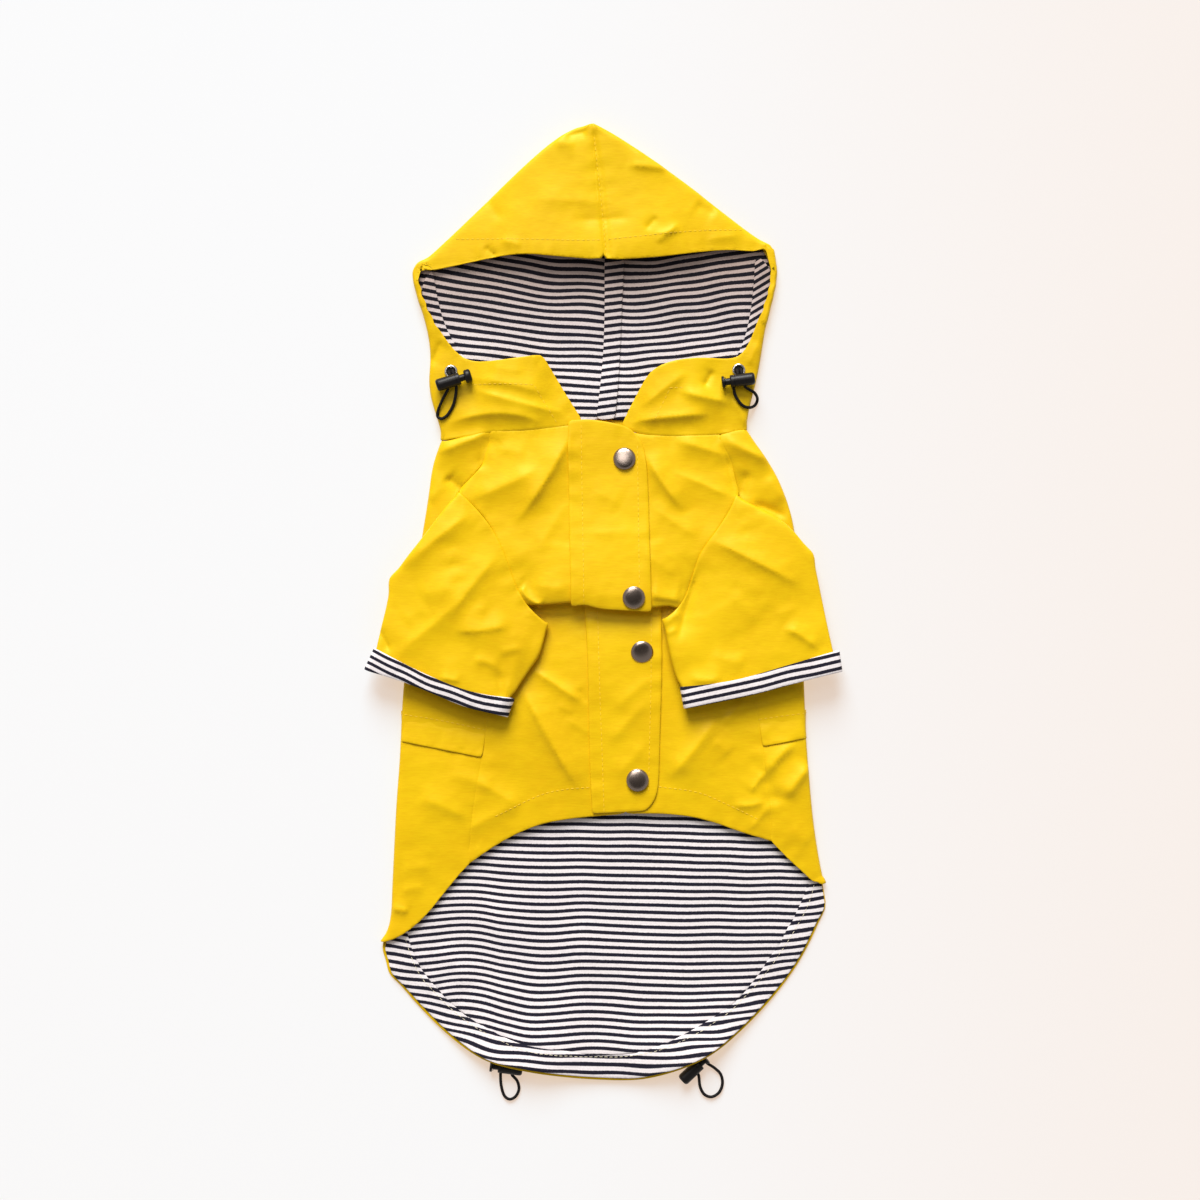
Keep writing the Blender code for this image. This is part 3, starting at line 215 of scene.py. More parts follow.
def curve_through(points: list[Plan], x: np.ndarray) -> np.ndarray:
    """Heights of a smooth line through a few points, level beyond its ends.

    Args:
        points: The line's points, from left to right.
        x: Where it is read.

    Returns:
        The line's height at each x.
    """
    xs = np.array([point[0] for point in points])
    ys = np.array([point[1] for point in points])
    slopes = np.gradient(ys, xs)
    place = np.clip(x, xs[0], xs[-1])
    index = np.clip(np.searchsorted(xs, place) - 1, 0, len(xs) - 2)
    span = xs[index + 1] - xs[index]
    t = (place - xs[index]) / span
    start = ys[index] * (2 * t ** 3 - 3 * t ** 2 + 1) + slopes[index] * span * (t ** 3 - 2 * t ** 2 + t)
    return start + ys[index + 1] * (3 * t ** 2 - 2 * t ** 3) + slopes[index + 1] * span * (t ** 3 - t ** 2)


@dataclass(frozen=True)
class Fold:
    """A crease in the cloth: a crest, or a trough where its height is negative.

    Attributes:
        start: One end of its run.
        end: The other end.
        height: Its height at the crest.
        left: Its width on the left of the run.
        right: Its width on the right.
        bow: How far its middle stands off the straight run.
        fade: The share of the run over which it rises from each end.
        tip: How blunt its crest is.
        above: The height that the cloth it takes in lies above.
        below: The height that the cloth it takes in lies below.
    """

    start: Plan
    end: Plan
    height: float
    left: float
    right: float
    bow: float = 0.0
    fade: float = 0.3
    tip: float = 0.2
    above: float = -1.0
    below: float = 99.0

    def rise(self, x: np.ndarray, y: np.ndarray, z: np.ndarray) -> np.ndarray:
        """Height that the crease adds, on the layers that it takes in.

        Args:
            x: Places across the coat.
            y: Places along it.
            z: Heights of the cloth there.

        Returns:
            The added height at each place.
        """
        run_x, run_y = self.end[0] - self.start[0], self.end[1] - self.start[1]
        length = math.hypot(run_x, run_y)
        from_x, from_y = x - self.start[0], y - self.start[1]
        along = (from_x * run_x + from_y * run_y) / length ** 2
        held = np.clip(along, 0.0, 1.0)
        across = (from_y * run_x - from_x * run_y) / length - self.bow * 4 * held * (1 - held)
        reach = np.where(across > 0, self.left, self.right)
        crest = np.exp(self.tip - np.sqrt((across / reach) ** 2 + self.tip ** 2))
        layers = ease((z - self.above) / LAYER_BLEND) * ease((self.below - z) / LAYER_BLEND)
        return self.height * crest * layers * ease(along / self.fade) * ease((1.0 - along) / self.fade)


@dataclass(frozen=True)
class Pull:
    """A soft tug on the cloth near one place, in the plan."""

    place: Plan
    move: Plan
    reach: float


@dataclass(frozen=True)
class Ripple:
    """An aimless unevenness made of a few crossed waves, round or with sharp ridges."""

    wavelength: float
    height: float
    seed: int
    waves: int = 7
    stretch: float = 1.0
    ridged: bool = False

    def rise(self, x: np.ndarray, y: np.ndarray) -> np.ndarray:
        """Height of the unevenness.

        Args:
            x: Places across the coat.
            y: Places along it.

        Returns:
            The height at each place.
        """
        rng = np.random.default_rng(self.seed)
        total = np.zeros_like(x)
        for _ in range(self.waves):
            turn, phase = rng.uniform(0.0, math.tau, 2)
            length = self.wavelength * rng.uniform(0.7, 1.5)
            along = x * math.cos(turn) / self.stretch + y * math.sin(turn)
            wave = np.sin(along * math.tau / length + phase)
            total += RIDGE_LEVEL - np.abs(wave) if self.ridged else wave
        return total * self.height / math.sqrt(self.waves)


@dataclass(frozen=True)
class StripeRun:
    """How the lining's stripes run: their drift up or down along X, at an upper and a lower row."""

    upper: list[Plan]
    lower: list[Plan]
    upper_y: float = 0.0
    lower_y: float = -1.0
    shift: float = 0.0
    wander: Ripple | None = None
    scale: float = 1.0

    def across(self, x: np.ndarray, y: np.ndarray) -> np.ndarray:
        """Distance across the stripes.

        Args:
            x: Places across the coat.
            y: Places along it.

        Returns:
            The distance at each place, in millimetres.
        """
        share = np.clip((self.upper_y - y) / (self.upper_y - self.lower_y), 0.0, 1.0)
        drift = curve_through(self.upper, x) * (1 - share) + curve_through(self.lower, x) * share
        if self.wander is not None:
            drift = drift + self.wander.rise(x, y)
        return (y - drift) * self.scale + self.shift


@dataclass(frozen=True)
class CoatedShell:
    """Polyester taslan with a polyurethane coat.

    The coat fills the weave and dries to a soft satin, so light runs along the creases in wide bands, the
    thread is only a faint grain, and the colour is even, with broad patches where the coat lies thinner.
    The grain is drawn about twice as coarse as the real weave, which is too fine to show.
    """

    colour: str = "#E5BC0C"
    deep: str = "#DEB009"
    weave_mm: float = 0.7
    weave_stretch: float = 0.12
    weave_depth_mm: float = 0.2
    weave_strength: float = 0.2
    patches_per_metre: float = 24.0
    roughness: float = 0.44
    gloss: float = 0.31
    gloss_tint: str = "#FFF1B0"

    def material(self) -> bpy.types.Material:
        """Makes the coated cloth's material.

        Returns:
            The material.
        """
        finish, tree, place = blank_finish("coated_taslan_yellow")
        thread = 1.0 / (self.weave_mm * MM)
        grain_place = add_node(tree, "ShaderNodeMapping", {
            "Vector": place, "Scale": (thread * self.weave_stretch, thread, thread)})
        grain = add_node(tree, "ShaderNodeTexNoise", {
            "Vector": grain_place.outputs[0], "Scale": 1.0, "Detail": 2.0})
        patches = add_node(tree, "ShaderNodeTexNoise", {
            "Vector": place, "Scale": self.patches_per_metre, "Detail": 3.0})
        both = sum_of(tree, "ADD", grain.outputs[0], patches.outputs[0])
        colour = mixed(tree, spread(tree, both, 0.75, 1.25), self.deep, self.colour)
        values = {"Roughness": self.roughness, "Specular IOR Level": self.gloss,
                  "Specular Tint": linear(self.gloss_tint)}
        shade(tree, colour, values, grain.outputs[0], self.weave_strength, self.weave_depth_mm)
        return finish


@dataclass(frozen=True)
class StripedJersey:
    """Cotton jersey knitted in white and navy stripes.

    Its loops scatter light, so it is matt and soft, its stripes have slightly ragged edges where a row of
    loops changes yarn, and each yarn varies a little. Toward the hood's brow its colour is darkened and
    warmed by painted shade, and its navy rows are drawn a little wider there.
    The loops are drawn half as coarse again as real ones, which are too fine to show.
    """

    white: str = "#EEE6E6"
    white_shade: str = "#E2D9DB"
    navy: str = "#14121F"
    navy_lit: str = "#1F1D2E"
    painted_hood_shade_colour: str = "#C2B1A6"
    pitch: float = 4.36
    navy_share: float = 0.49
    deep_share: float = 0.06
    soft_share: float = 0.03
    loop_mm: float = 0.9
    loop_depth_mm: float = 0.3
    ragged_mm: float = 0.16
    roughness: float = 0.9
    gloss: float = 0.2
    fuzz: float = 0.05

    def material(self) -> bpy.types.Material:
        """Makes the striped jersey's material, which reads each piece's own stripe attribute and its painted
        hood shade.

        Returns:
            The material.
        """
        finish, tree, place = blank_finish("striped_jersey")
        depth = add_node(tree, "ShaderNodeAttribute", attribute_name="depth").outputs["Fac"]
        knit = add_node(tree, "ShaderNodeTexNoise", {
            "Vector": place, "Scale": 1.0 / (self.loop_mm * MM), "Detail": 1.0})
        speck = spread(tree, knit.outputs[0], 0.3, 0.75)
        light = mixed(tree, speck, self.white_shade, self.white)
        dark = mixed(tree, speck, self.navy, self.navy_lit)
        colour = mixed(tree, self._navy_mask(tree, knit.outputs[0], depth), light, dark)
        # Painted shade: toward the hood's brow the colour is multiplied by a warm grey, for the brow's
        # shadow and the yellow light of the shell.
        warm = mixed(tree, depth, colour, self.painted_hood_shade_colour, blend_type="MULTIPLY")
        values = {"Roughness": self.roughness, "Specular IOR Level": self.gloss, "Sheen Weight": self.fuzz}
        shade(tree, warm, values, knit.outputs[0], depth_mm=self.loop_depth_mm)
        return finish

    def _navy_mask(self, tree: bpy.types.NodeTree, knit: bpy.types.NodeSocket,
                   depth: bpy.types.NodeSocket) -> bpy.types.NodeSocket:
        """Adds the nodes that tell navy rows from white ones.

        Args:
            tree: The material's node tree.
            knit: The loops' unevenness, which makes the rows ragged.
            depth: The painted shade toward the hood's brow, where the navy rows are drawn a little wider.

        Returns:
            The socket that is 1 on navy and 0 on white.
        """
        across = add_node(tree, "ShaderNodeAttribute", attribute_name="stripe_mm").outputs["Fac"]
        ragged = sum_of(tree, "MULTIPLY_ADD", knit, 2 * self.ragged_mm, across)
        share = sum_of(tree, "FRACT", sum_of(tree, "DIVIDE", ragged, self.pitch))
        off = sum_of(tree, "ABSOLUTE", sum_of(tree, "SUBTRACT", share, 0.5))
        near = sum_of(tree, "MULTIPLY_ADD", depth, -self.deep_share / 2, off)
        half = self.navy_share / 2
        return spread(tree, near, half + self.soft_share, half - self.soft_share)


@dataclass(frozen=True)
class PlainFinish:
    """A one-colour finish with a fine moulded, braided, drawn or spun grain."""

    name: str
    colour: str
    roughness: float
    metallic: float = 0.0
    grain_mm: float = 0.6
    grain_depth_mm: float = 0.02
    dark: str | None = None
    gloss: float = 0.5

    def material(self) -> bpy.types.Material:
        """Makes the finish's material.

        Returns:
            The material.
        """
        finish, tree, place = blank_finish(self.name)
        grain = add_node(tree, "ShaderNodeTexNoise", {
            "Vector": place, "Scale": 1.0 / (self.grain_mm * MM), "Detail": 3.0})
        colour = mixed(tree, grain.outputs[0], self.dark or self.colour, self.colour)
        values = {"Roughness": self.roughness, "Metallic": self.metallic, "Specular IOR Level": self.gloss}
        shade(tree, colour, values, grain.outputs[0], depth_mm=self.grain_depth_mm)
        return finish


def dressed(piece: bpy.types.Object, material: bpy.types.Material, slot: str, *nodes: str,
            body: str = BODY) -> bpy.types.Object:
    """Gives a finished piece its material and its body, and hides the nodes that it stands for.

    Args:
        piece: The finished piece.
        material: Its finish.
        slot: Not used.
        *nodes: The nodes that it replaces.
        body: The body that it moves with.

    Returns:
        The same piece.
    """
    piece.data.materials.clear()
    piece.data.materials.append(material)
    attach(piece, body)
    if nodes:
        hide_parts(*nodes)
    return piece


def new_piece(name: str, mesh: bpy.types.Mesh) -> bpy.types.Object:
    """Puts a mesh in the scene as a piece.

    Args:
        name: The name of the piece and of its mesh.
        mesh: The mesh, in place.

    Returns:
        The piece.
    """
    mesh.name = name
    piece = bpy.data.objects.new(name, mesh)
    bpy.context.scene.collection.objects.link(piece)
    return piece


def middle_of_foot(node: str) -> Vector:
    """The middle of a node's underside, in metres."""
    low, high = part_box(node)
    return Vector(((low.x + high.x) / 2, (low.y + high.y) / 2, low.z))


@dataclass
class ClothPiece:
    """One cut piece of cloth, drawn over its solid as a fine wall with its own creases.

    Attributes:
        node: The solid that it replaces.
        slot: The record's slot for its cloth.
        cut: Width and length in metres, and area in square metres, of the flat cloth that shows.
        folds: Its creases.
        ripples: Its unevenness.
        stripes: How its stripes run, where it is striped.
        held: How it is held.
        levels: How often its wall is rounded.
        finest: The longest edge that its creased side keeps.
        pucker: Height of the puckers along its edges.
        pucker_reach: How far in they run.
        upper_from: Height above which it has creases, where its back lies flat.
        lift_limit: The most that creases add.
        sink_limit: The most that they take.
        grow: How far its edges reach over the seams.
        pulls: Tugs on its outline.
        painted_shade_y: Where its painted shade starts, and where, just under the hood's brow, it is
            darkest.
    """

    node: str
    slot: str
    cut: tuple[float, float, float]
    folds: list[Fold] = field(default_factory=list)
    ripples: list[Ripple] = field(default_factory=list)
    stripes: StripeRun | None = None
    held: Held = Held.LAID
    levels: int = 2
    finest: float = 1.8
    pucker: float = 0.16
    pucker_reach: float = 7.0
    upper_from: float | None = None
    lift_limit: float = 9.0
    sink_limit: float = 2.4
    grow: float = 0.4
    pulls: list[Pull] = field(default_factory=list)
    painted_shade_y: Plan | None = None

    def build(self, material: bpy.types.Material) -> bpy.types.Object:
        """Makes the finished piece of cloth.

        Args:
            material: Its finish.

        Returns:
            The piece.
        """
        mesh = self._rounded_wall()
        self._cut_finer(mesh)
        self._press_folds(mesh)
        if self.stripes is not None:
            self._lay_stripes(mesh)
        piece = dressed(new_piece("cloth_" + self.node, mesh), material, self.slot, self.node)
        LOG.info("%s: %d faces", piece.name, len(mesh.polygons))
        return piece

    def _rounded_wall(self) -> bpy.types.Mesh:
        """Rounds the solid's wall.

        Returns:
            The rounded wall.
        """
        shape = bmesh.new()
        shape.from_mesh(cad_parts[self.node].data)
        bmesh.ops.remove_doubles(shape, verts=shape.verts, dist=WELD)
        bmesh.ops.join_triangles(shape, faces=shape.faces, angle_face_threshold=PAIR_ANGLE,
                                 angle_shape_threshold=PAIR_SHAPE)
        crease = shape.edges.layers.float.new("crease_edge")
        for edge in shape.edges:
            if edge.is_manifold and edge.calc_face_angle(0.0) > SHARP_ANGLE:
                edge[crease] = SHARP_CREASE
        mesh = bpy.data.meshes.new(self.node)
        shape.to_mesh(mesh)
        shape.free()
        holder = new_piece("wall", mesh)
        rounding = holder.modifiers.new("round", "SUBSURF")
        rounding.levels = self.levels
        rounding.render_levels = self.levels
        fine = bpy.data.meshes.new_from_object(holder.evaluated_get(bpy.context.evaluated_depsgraph_get()))
        bpy.data.objects.remove(holder)
        bpy.data.meshes.remove(mesh)
        return fine

    def _cut_finer(self, mesh: bpy.types.Mesh) -> None:
        """Cuts the side that shows finely enough for its creases.

        Args:
            mesh: The rounded wall.
        """
        shape = bmesh.new()
        shape.from_mesh(mesh)
        lowest = (self.upper_from or 0.0) * MM
        for _ in range(CUT_ROUNDS):
            shape.normal_update()
            long = [edge for edge in shape.edges if edge.calc_length() > self.finest * MM
                    and min(edge.verts[0].co.z, edge.verts[1].co.z) > lowest
                    and any(face.normal.z > FACING_UP for face in edge.link_faces)]
            if not long:
                break
            bmesh.ops.subdivide_edges(shape, edges=long, cuts=1)
            bmesh.ops.triangulate(shape, faces=[face for face in shape.faces if len(face.verts) > 4])
        for face in shape.faces:
            face.smooth = True
        shape.to_mesh(mesh)
        shape.free()

    def _press_folds(self, mesh: bpy.types.Mesh) -> None:
        """Presses the creases and the puckers along the edges into the cloth.

        Args:
            mesh: The fine wall.
        """
        places = points_of(mesh)
        self._fit_edges(mesh, places)
        x, y, z = places.T
        lift = sum((fold.rise(x, y, z) for fold in self.folds), np.zeros_like(x))
        lift += sum((ripple.rise(x, y) for ripple in self.ripples), np.zeros_like(x))
        lift += self._puckers()
        share = np.ones_like(x)
        if self.upper_from is not None:
            share = ease((z - self.upper_from + UPPER_LEAD) / UPPER_BLEND)
        places[:, 2] = z + np.clip(lift, -self.sink_limit, self.lift_limit) * share
        mesh.vertices.foreach_set("co", (places * MM).ravel())
        mesh.update()

    def _fit_edges(self, mesh: bpy.types.Mesh, places: np.ndarray) -> None:
        """Finds the piece's edges, then grows them over the seams and tugs what is to be tugged.

        Args:
            mesh: The fine wall.
            places: Its points in millimetres, which are moved.
        """
        shape = bmesh.new()
        shape.from_mesh(mesh)
        outward: dict[int, Vector] = {}
        for edge in shape.edges:
            if not edge.is_manifold or edge.calc_face_angle(0.0) < RIM_ANGLE:
                continue
            side = min((face.normal for face in edge.link_faces), key=lambda normal: abs(normal.z))
            for corner in edge.verts:
                outward[corner.index] = outward.get(corner.index, Vector((0.0, 0.0))) + side.to_2d()
        shape.free()
        tree = KDTree(len(outward))
        for index in outward:
            tree.insert(Vector((*places[index][:2], 0.0)), index)
        tree.balance()
        nearest = [tree.find(Vector((place[0], place[1], 0.0))) for place in places]
        self.edge_away = np.array([found[2] for found in nearest])
        self.edge_place = np.array([found[0][:2] for found in nearest])
        away = np.array([outward[found[1]].normalized()[:] for found in nearest])
        share = self.grow * (1.0 - ease(self.edge_away / (self.grow + EDGE_REACH)))
        places[:, :2] += away * share[:, None]
        for pull in self.pulls:
            apart = np.hypot(places[:, 0] - pull.place[0], places[:, 1] - pull.place[1])
            places[:, :2] += np.exp(-(apart / pull.reach) ** 2)[:, None] * np.array(pull.move)

    def _puckers(self) -> np.ndarray:
        """Small ridges that run square to the piece's edges and die away from them."""
        wave = Ripple(PUCKER_LENGTH, self.pucker, 5).rise(*self.edge_place.T)
        return wave * np.exp(-(self.edge_away / self.pucker_reach) ** 2)

    def _lay_stripes(self, mesh: bpy.types.Mesh) -> None:
        """Stores the distance across the stripes, and the painted shade toward the hood's brow, on each
        point.

        Args:
            mesh: The creased wall.
        """
        x, y, _ = points_of(mesh).T
        stripes = mesh.attributes.new("stripe_mm", "FLOAT", "POINT")
        stripes.data.foreach_set("value", self.stripes.across(x, y))
        # Painted shade, darkest in the shadow under the hood's brow.
        depth = np.zeros_like(x)
        if self.painted_shade_y is not None:
            low, high = self.painted_shade_y
            depth = ease((y - low) / (high - low))
        mesh.attributes.new("depth", "FLOAT", "POINT").data.foreach_set("value", depth)


def even_run(drift: list[Plan], **others: object) -> StripeRun:
    """Stripes that drift alike in every row."""
    return StripeRun(drift, drift, **others)


# Creases of the upper layers: elbows and sleeve seams, chest, collar, belly, hood, and the flaps' own.
SLEEVE_FOLDS: list[Fold] = [
    Fold((-146.0, -34.0), (-54.0, -64.0), 2.4, 26.0, 14.0, 0.0, 0.08, 0.6, above=9.5),
    Fold((42.0, -60.0), (148.0, -36.0), 2.4, 26.0, 14.0, 0.0, 0.08, 0.6, above=9.5),
    Fold((-122.0, 18.5), (-74.0, 56.0), 2.6, 8.0, 5.5, 1.0),
    Fold((-125.0, -33.0), (-80.0, 4.0), 1.7, 4.0, 9.0),
    Fold((-92.0, -10.0), (-61.0, 29.0), 1.9, 8.0, 4.0, 1.0),
    Fold((-90.0, -17.6), (-53.0, -13.5), 1.3, 6.0, 1.6, -1.6),
    Fold((-63.0, -31.5), (-48.0, -27.0), 0.9, 4.0, 1.5),
    Fold((-79.0, -35.0), (-61.0, -41.0), 1.3, 4.0, 2.2, 2.0),
    Fold((-62.0, -40.0), (-60.5, -60.0), -1.4, 2.5, 2.5),
    Fold((-135.0, -14.0), (-126.0, -31.0), -1.5, 1.8, 2.2),
    Fold((-98.0, -45.0), (-84.0, -47.5), 1.0, 3.0, 1.5),
    Fold((-112.0, 4.0), (-84.0, 9.0), 0.9, 8.0, 7.0),
    Fold((-120.0, -12.0), (-104.0, -2.0), 0.6, 7.0, 6.0),
    Fold((61.0, 38.0), (119.0, 8.5), 2.2, 8.0, 3.0, 0.8),
    Fold((44.0, -26.0), (58.5, 24.0), -2.2, 2.2, 3.4, 1.0),
    Fold((34.5, -14.5), (47.0, -5.0), 1.2, 1.8, 2.2),
    Fold((36.5, -19.5), (45.0, -16.0), 0.9, 1.6, 1.8),
    Fold((106.0, -15.0), (129.0, -29.5), 1.8, 6.0, 2.2, 1.5),
    Fold((50.0, -44.5), (72.0, -44.5), 1.3, 4.0, 2.0, -2.5),
    Fold((62.0, -32.0), (86.0, -37.0), 0.9, 4.0, 6.0),
    Fold((76.0, 8.0), (92.0, -14.0), 0.7, 7.0, 8.0),
    Fold((100.0, -8.0), (118.0, -3.0), 0.6, 5.0, 5.0),
]
CHEST_FOLDS: list[Fold] = [
    Fold((-47.0, 5.0), (42.0, 3.0), 2.4, 16.0, 12.0, 0.0, 0.22, 0.5, above=8.0),
    Fold((-72.0, 48.0), (70.0, 48.0), 3.0, 22.0, 12.0, 0.0, 0.35, 1.5),
    Fold((-54.0, -1.0), (48.0, -3.0), -2.4, 8.0, 12.0, 0.0, 0.1, 0.6, below=8.2),
    Fold((-101.0, 88.0), (-67.0, 101.0), 2.8, 3.5, 5.0, 0.5),
    Fold((-74.5, 78.0), (-67.5, 102.0), -1.8, 2.6, 2.0),
    Fold((-94.0, 75.0), (-84.0, 66.0), -2.2, 3.0, 2.6, 0.0, 0.2),
    Fold((-106.0, 60.0), (-92.0, 72.0), 0.8, 5.0, 5.0),
    Fold((-82.0, 60.0), (-36.0, 81.0), 3.0, 9.0, 7.0, -1.0),
    Fold((-55.0, 44.0), (-17.0, 106.0), 3.2, 9.0, 3.0, -3.0, 0.35),
    Fold((-66.0, 92.0), (-44.0, 88.0), 0.8, 5.0, 6.0),
    Fold((-40.0, 30.0), (-20.0, 62.0), 0.8, 6.0, 5.0),
    Fold((-58.0, 26.0), (-30.0, 34.0), 0.6, 7.0, 6.0),
    Fold((-49.5, 9.0), (-36.0, -2.0), 2.2, 2.2, 1.5, -2.5, 0.15),
    Fold((-45.0, 10.0), (-20.0, 7.0), 0.9, 4.0, 5.0),
    Fold((40.0, 97.5), (78.0, 86.0), 2.3, 6.0, 4.5),
    Fold((68.0, 98.5), (103.0, 82.5), 3.2, 4.0, 5.5),
    Fold((80.5, 60.5), (86.5, 79.0), -2.2, 3.0, 2.2),
    Fold((69.0, 97.0), (79.0, 61.5), -1.4, 1.8, 1.8, 1.5),
    Fold((24.0, 90.0), (50.0, 52.0), 2.9, 9.0, 3.0, -1.5, 0.35),
    Fold((38.0, 79.0), (79.0, 61.0), 1.3, 3.0, 5.0, 0.5),
    Fold((27.0, 58.0), (58.0, 37.0), 1.2, 7.0, 5.0),
    Fold((22.0, 30.0), (46.0, 14.0), 0.7, 6.0, 4.0),
    Fold((28.0, 3.0), (46.0, 0.5), 1.7, 7.0, 1.4, 0.0, 0.15),
    Fold((88.0, 59.5), (111.0, 49.5), -2.2, 3.0, 2.0, 0.5),
    Fold((98.0, 76.0), (108.0, 58.0), 0.9, 4.0, 4.0),
    Fold((-8.0, 66.0), (12.0, 58.0), 0.6, 5.0, 5.0),
    Fold((-8.0, 40.0), (20.0, 44.0), 0.5, 6.0, 6.0),
]
COLLAR_FOLDS: list[Fold] = [
    Fold((-78.0, 149.0), (-26.0, 149.0), 2.4, 8.0, 34.0, 0.0, 0.3, 0.5),
    Fold((18.0, 149.0), (74.0, 147.0), 2.4, 8.0, 34.0, 0.0, 0.3, 0.5),
    Fold((-84.0, 134.0), (-30.0, 123.0), 2.3, 8.0, 4.2, 1.5),
    Fold((-82.0, 128.0), (-18.0, 111.5), 1.9, 3.0, 5.0, -1.0),
    Fold((-96.0, 105.0), (-32.0, 105.5), 2.8, 7.0, 3.6, 7.0),
    Fold((-104.0, 140.0), (-96.0, 158.0), -1.5, 2.5, 4.0),
    Fold((-70.0, 140.0), (-45.0, 137.0), 0.8, 5.0, 4.0),
    Fold((20.0, 114.5), (52.0, 139.0), 1.8, 6.0, 3.6),
    Fold((59.5, 127.0), (66.0, 139.0), -1.7, 1.8, 1.8),
    Fold((43.0, 126.5), (79.0, 119.0), 2.8, 6.0, 4.2, -1.0),
    Fold((77.0, 124.0), (86.0, 103.0), 1.2, 2.0, 1.8),
    Fold((15.0, 107.0), (66.0, 112.0), 2.9, 6.0, 2.8, 0.5),
    Fold((86.0, 140.0), (93.0, 156.0), 0.9, 3.0, 3.0),
]
BELLY_FOLDS: list[Fold] = [
    Fold((-50.0, -49.0), (-12.0, -116.0), 2.6, 7.0, 3.0, -1.0),
    Fold((-45.0, -39.0), (-10.0, -62.0), 2.0, 2.6, 3.6, 0.5),
    Fold((-15.0, -51.0), (-10.0, -61.0), -0.6, 1.6, 1.8),
    Fold((-28.0, -61.0), (-17.0, -67.0), 0.5, 3.0, 1.8),
    Fold((-24.0, -69.0), (-6.0, -80.5), 0.6, 4.0, 2.2),
    Fold((-96.0, -103.0), (-64.0, -112.0), 0.8, 7.0, 5.0, 1.0),
    Fold((-78.0, -106.0), (-48.0, -123.0), 1.1, 5.0, 5.0),
    Fold((-112.0, -116.0), (-78.0, -131.0), 1.1, 7.0, 4.0, 0.5),
    Fold((-86.0, -139.0), (-46.0, -118.0), 1.1, 5.0, 5.0, 0.5),
    Fold((-122.0, -160.0), (-102.0, -158.0), 0.8, 6.0, 5.0),
    Fold((-122.0, -173.0), (-106.0, -170.0), 0.8, 5.0, 4.0),
    Fold((-127.0, -182.5), (-116.0, -185.5), 1.5, 3.0, 1.6, -0.5),
    Fold((37.0, -108.0), (70.0, -67.0), 2.2, 5.0, 6.5, -1.0),
    Fold((71.0, -74.0), (85.0, -58.0), 1.1, 2.2, 2.6),
    Fold((66.0, -82.0), (76.0, -92.0), 0.7, 5.0, 5.0),
    Fold((96.0, -105.0), (116.0, -83.5), 2.6, 4.0, 2.0, 1.5),
    Fold((108.0, -119.0), (125.0, -96.5), 3.2, 4.5, 3.2, 0.8),
    Fold((87.0, -115.0), (97.0, -101.0), 1.3, 3.0, 2.0),
    Fold((97.0, -103.0), (104.5, -123.0), -1.2, 1.8, 2.0),
    Fold((76.0, -121.0), (98.0, -118.5), 1.4, 4.0, 2.8, -2.0),
    Fold((86.0, -138.0), (102.0, -119.0), 1.2, 4.0, 3.0),
    Fold((110.0, -134.0), (124.0, -146.0), 0.8, 5.0, 5.0),
    Fold((1.0, -87.0), (29.0, -56.0), 1.0, 5.0, 4.0),
    Fold((3.0, -67.0), (30.0, -44.0), 0.8, 5.0, 4.0),
    Fold((6.0, -107.0), (27.0, -83.0), 0.8, 5.0, 4.0),
]
HOOD_FOLDS: list[Fold] = [
    Fold((-80.0, 262.0), (66.0, 260.0), 3.6, 70.0, 30.0, 4.0, 0.3, 0.8),
    Fold((-24.0, 277.5), (-8.0, 281.5), -1.8, 3.0, 3.0),
    Fold((-30.0, 274.0), (-16.0, 272.5), 0.8, 2.0, 3.0),
    Fold((13.0, 260.5), (41.0, 258.0), 1.6, 6.0, 2.0),
    Fold((-46.0, 240.0), (0.0, 238.5), 0.9, 8.0, 4.0),
    Fold((-20.0, 227.5), (20.0, 229.0), -1.3, 4.0, 4.5),
    Fold((24.5, 221.0), (32.5, 230.0), -1.1, 1.8, 1.8),
    Fold((30.5, 213.0), (46.0, 226.0), 1.4, 3.0, 1.8),
    Fold((28.0, 219.0), (49.0, 221.0), 0.6, 2.0, 1.2),
    Fold((-71.5, 212.5), (-63.0, 205.0), -1.1, 1.7, 1.7),
    Fold((-62.0, 216.0), (-48.0, 212.0), 0.8, 3.0, 3.0),
    Fold((54.0, 238.0), (68.0, 230.5), -1.0, 4.0, 4.0),
    Fold((-74.0, 246.0), (-60.0, 226.0), -0.9, 5.0, 5.0),
    Fold((-6.0, 282.0), (3.0, 203.0), -1.2, 1.8, 1.8, 0.8, 0.05),
    Fold((60.0, 216.0), (84.0, 219.0), 0.7, 4.0, 3.0),
]
FLAP_FOLDS: list[Fold] = [
    Fold((-140.0, -61.8), (-55.0, -76.9), -1.9, 6.0, 9.0, 0.0, 0.02),
    Fold((80.0, -69.7), (135.0, -63.0), -1.9, 6.0, 9.0, 0.0, 0.02),
]
FRONT_FOLDS: list[Fold] = SLEEVE_FOLDS + CHEST_FOLDS + COLLAR_FOLDS + BELLY_FOLDS + HOOD_FOLDS
FRONT_RIPPLES: list[Ripple] = [
    Ripple(58.0, 0.2, 11),
    Ripple(24.0, 0.08, 12),
    Ripple(9.0, 0.03, 13),
    Ripple(7.0, 0.03, 14, stretch=3.0),
    Ripple(110.0, 0.5, 17, waves=5, ridged=True),
]

# Creases of the tail's lining, where it drapes over the hem cord.
TAIL_FOLDS: list[Fold] = [
    Fold((-70.0, -165.0), (-58.0, -262.0), 1.6, 10.0, 7.0, 4.0),
    Fold((-100.0, -205.0), (-78.0, -232.0), 0.9, 8.0, 6.0),
    Fold((-10.0, -180.0), (-14.0, -268.0), 0.8, 14.0, 14.0),
    Fold((40.0, -150.0), (60.0, -240.0), 0.6, 16.0, 14.0),
]

# Unevenness of the lining, beside its creases.
TAIL_RIPPLES: list[Ripple] = [Ripple(48.0, 0.25, 21)]
HOOD_LINING_RIPPLES: list[Ripple] = [Ripple(30.0, 0.3, 31)]

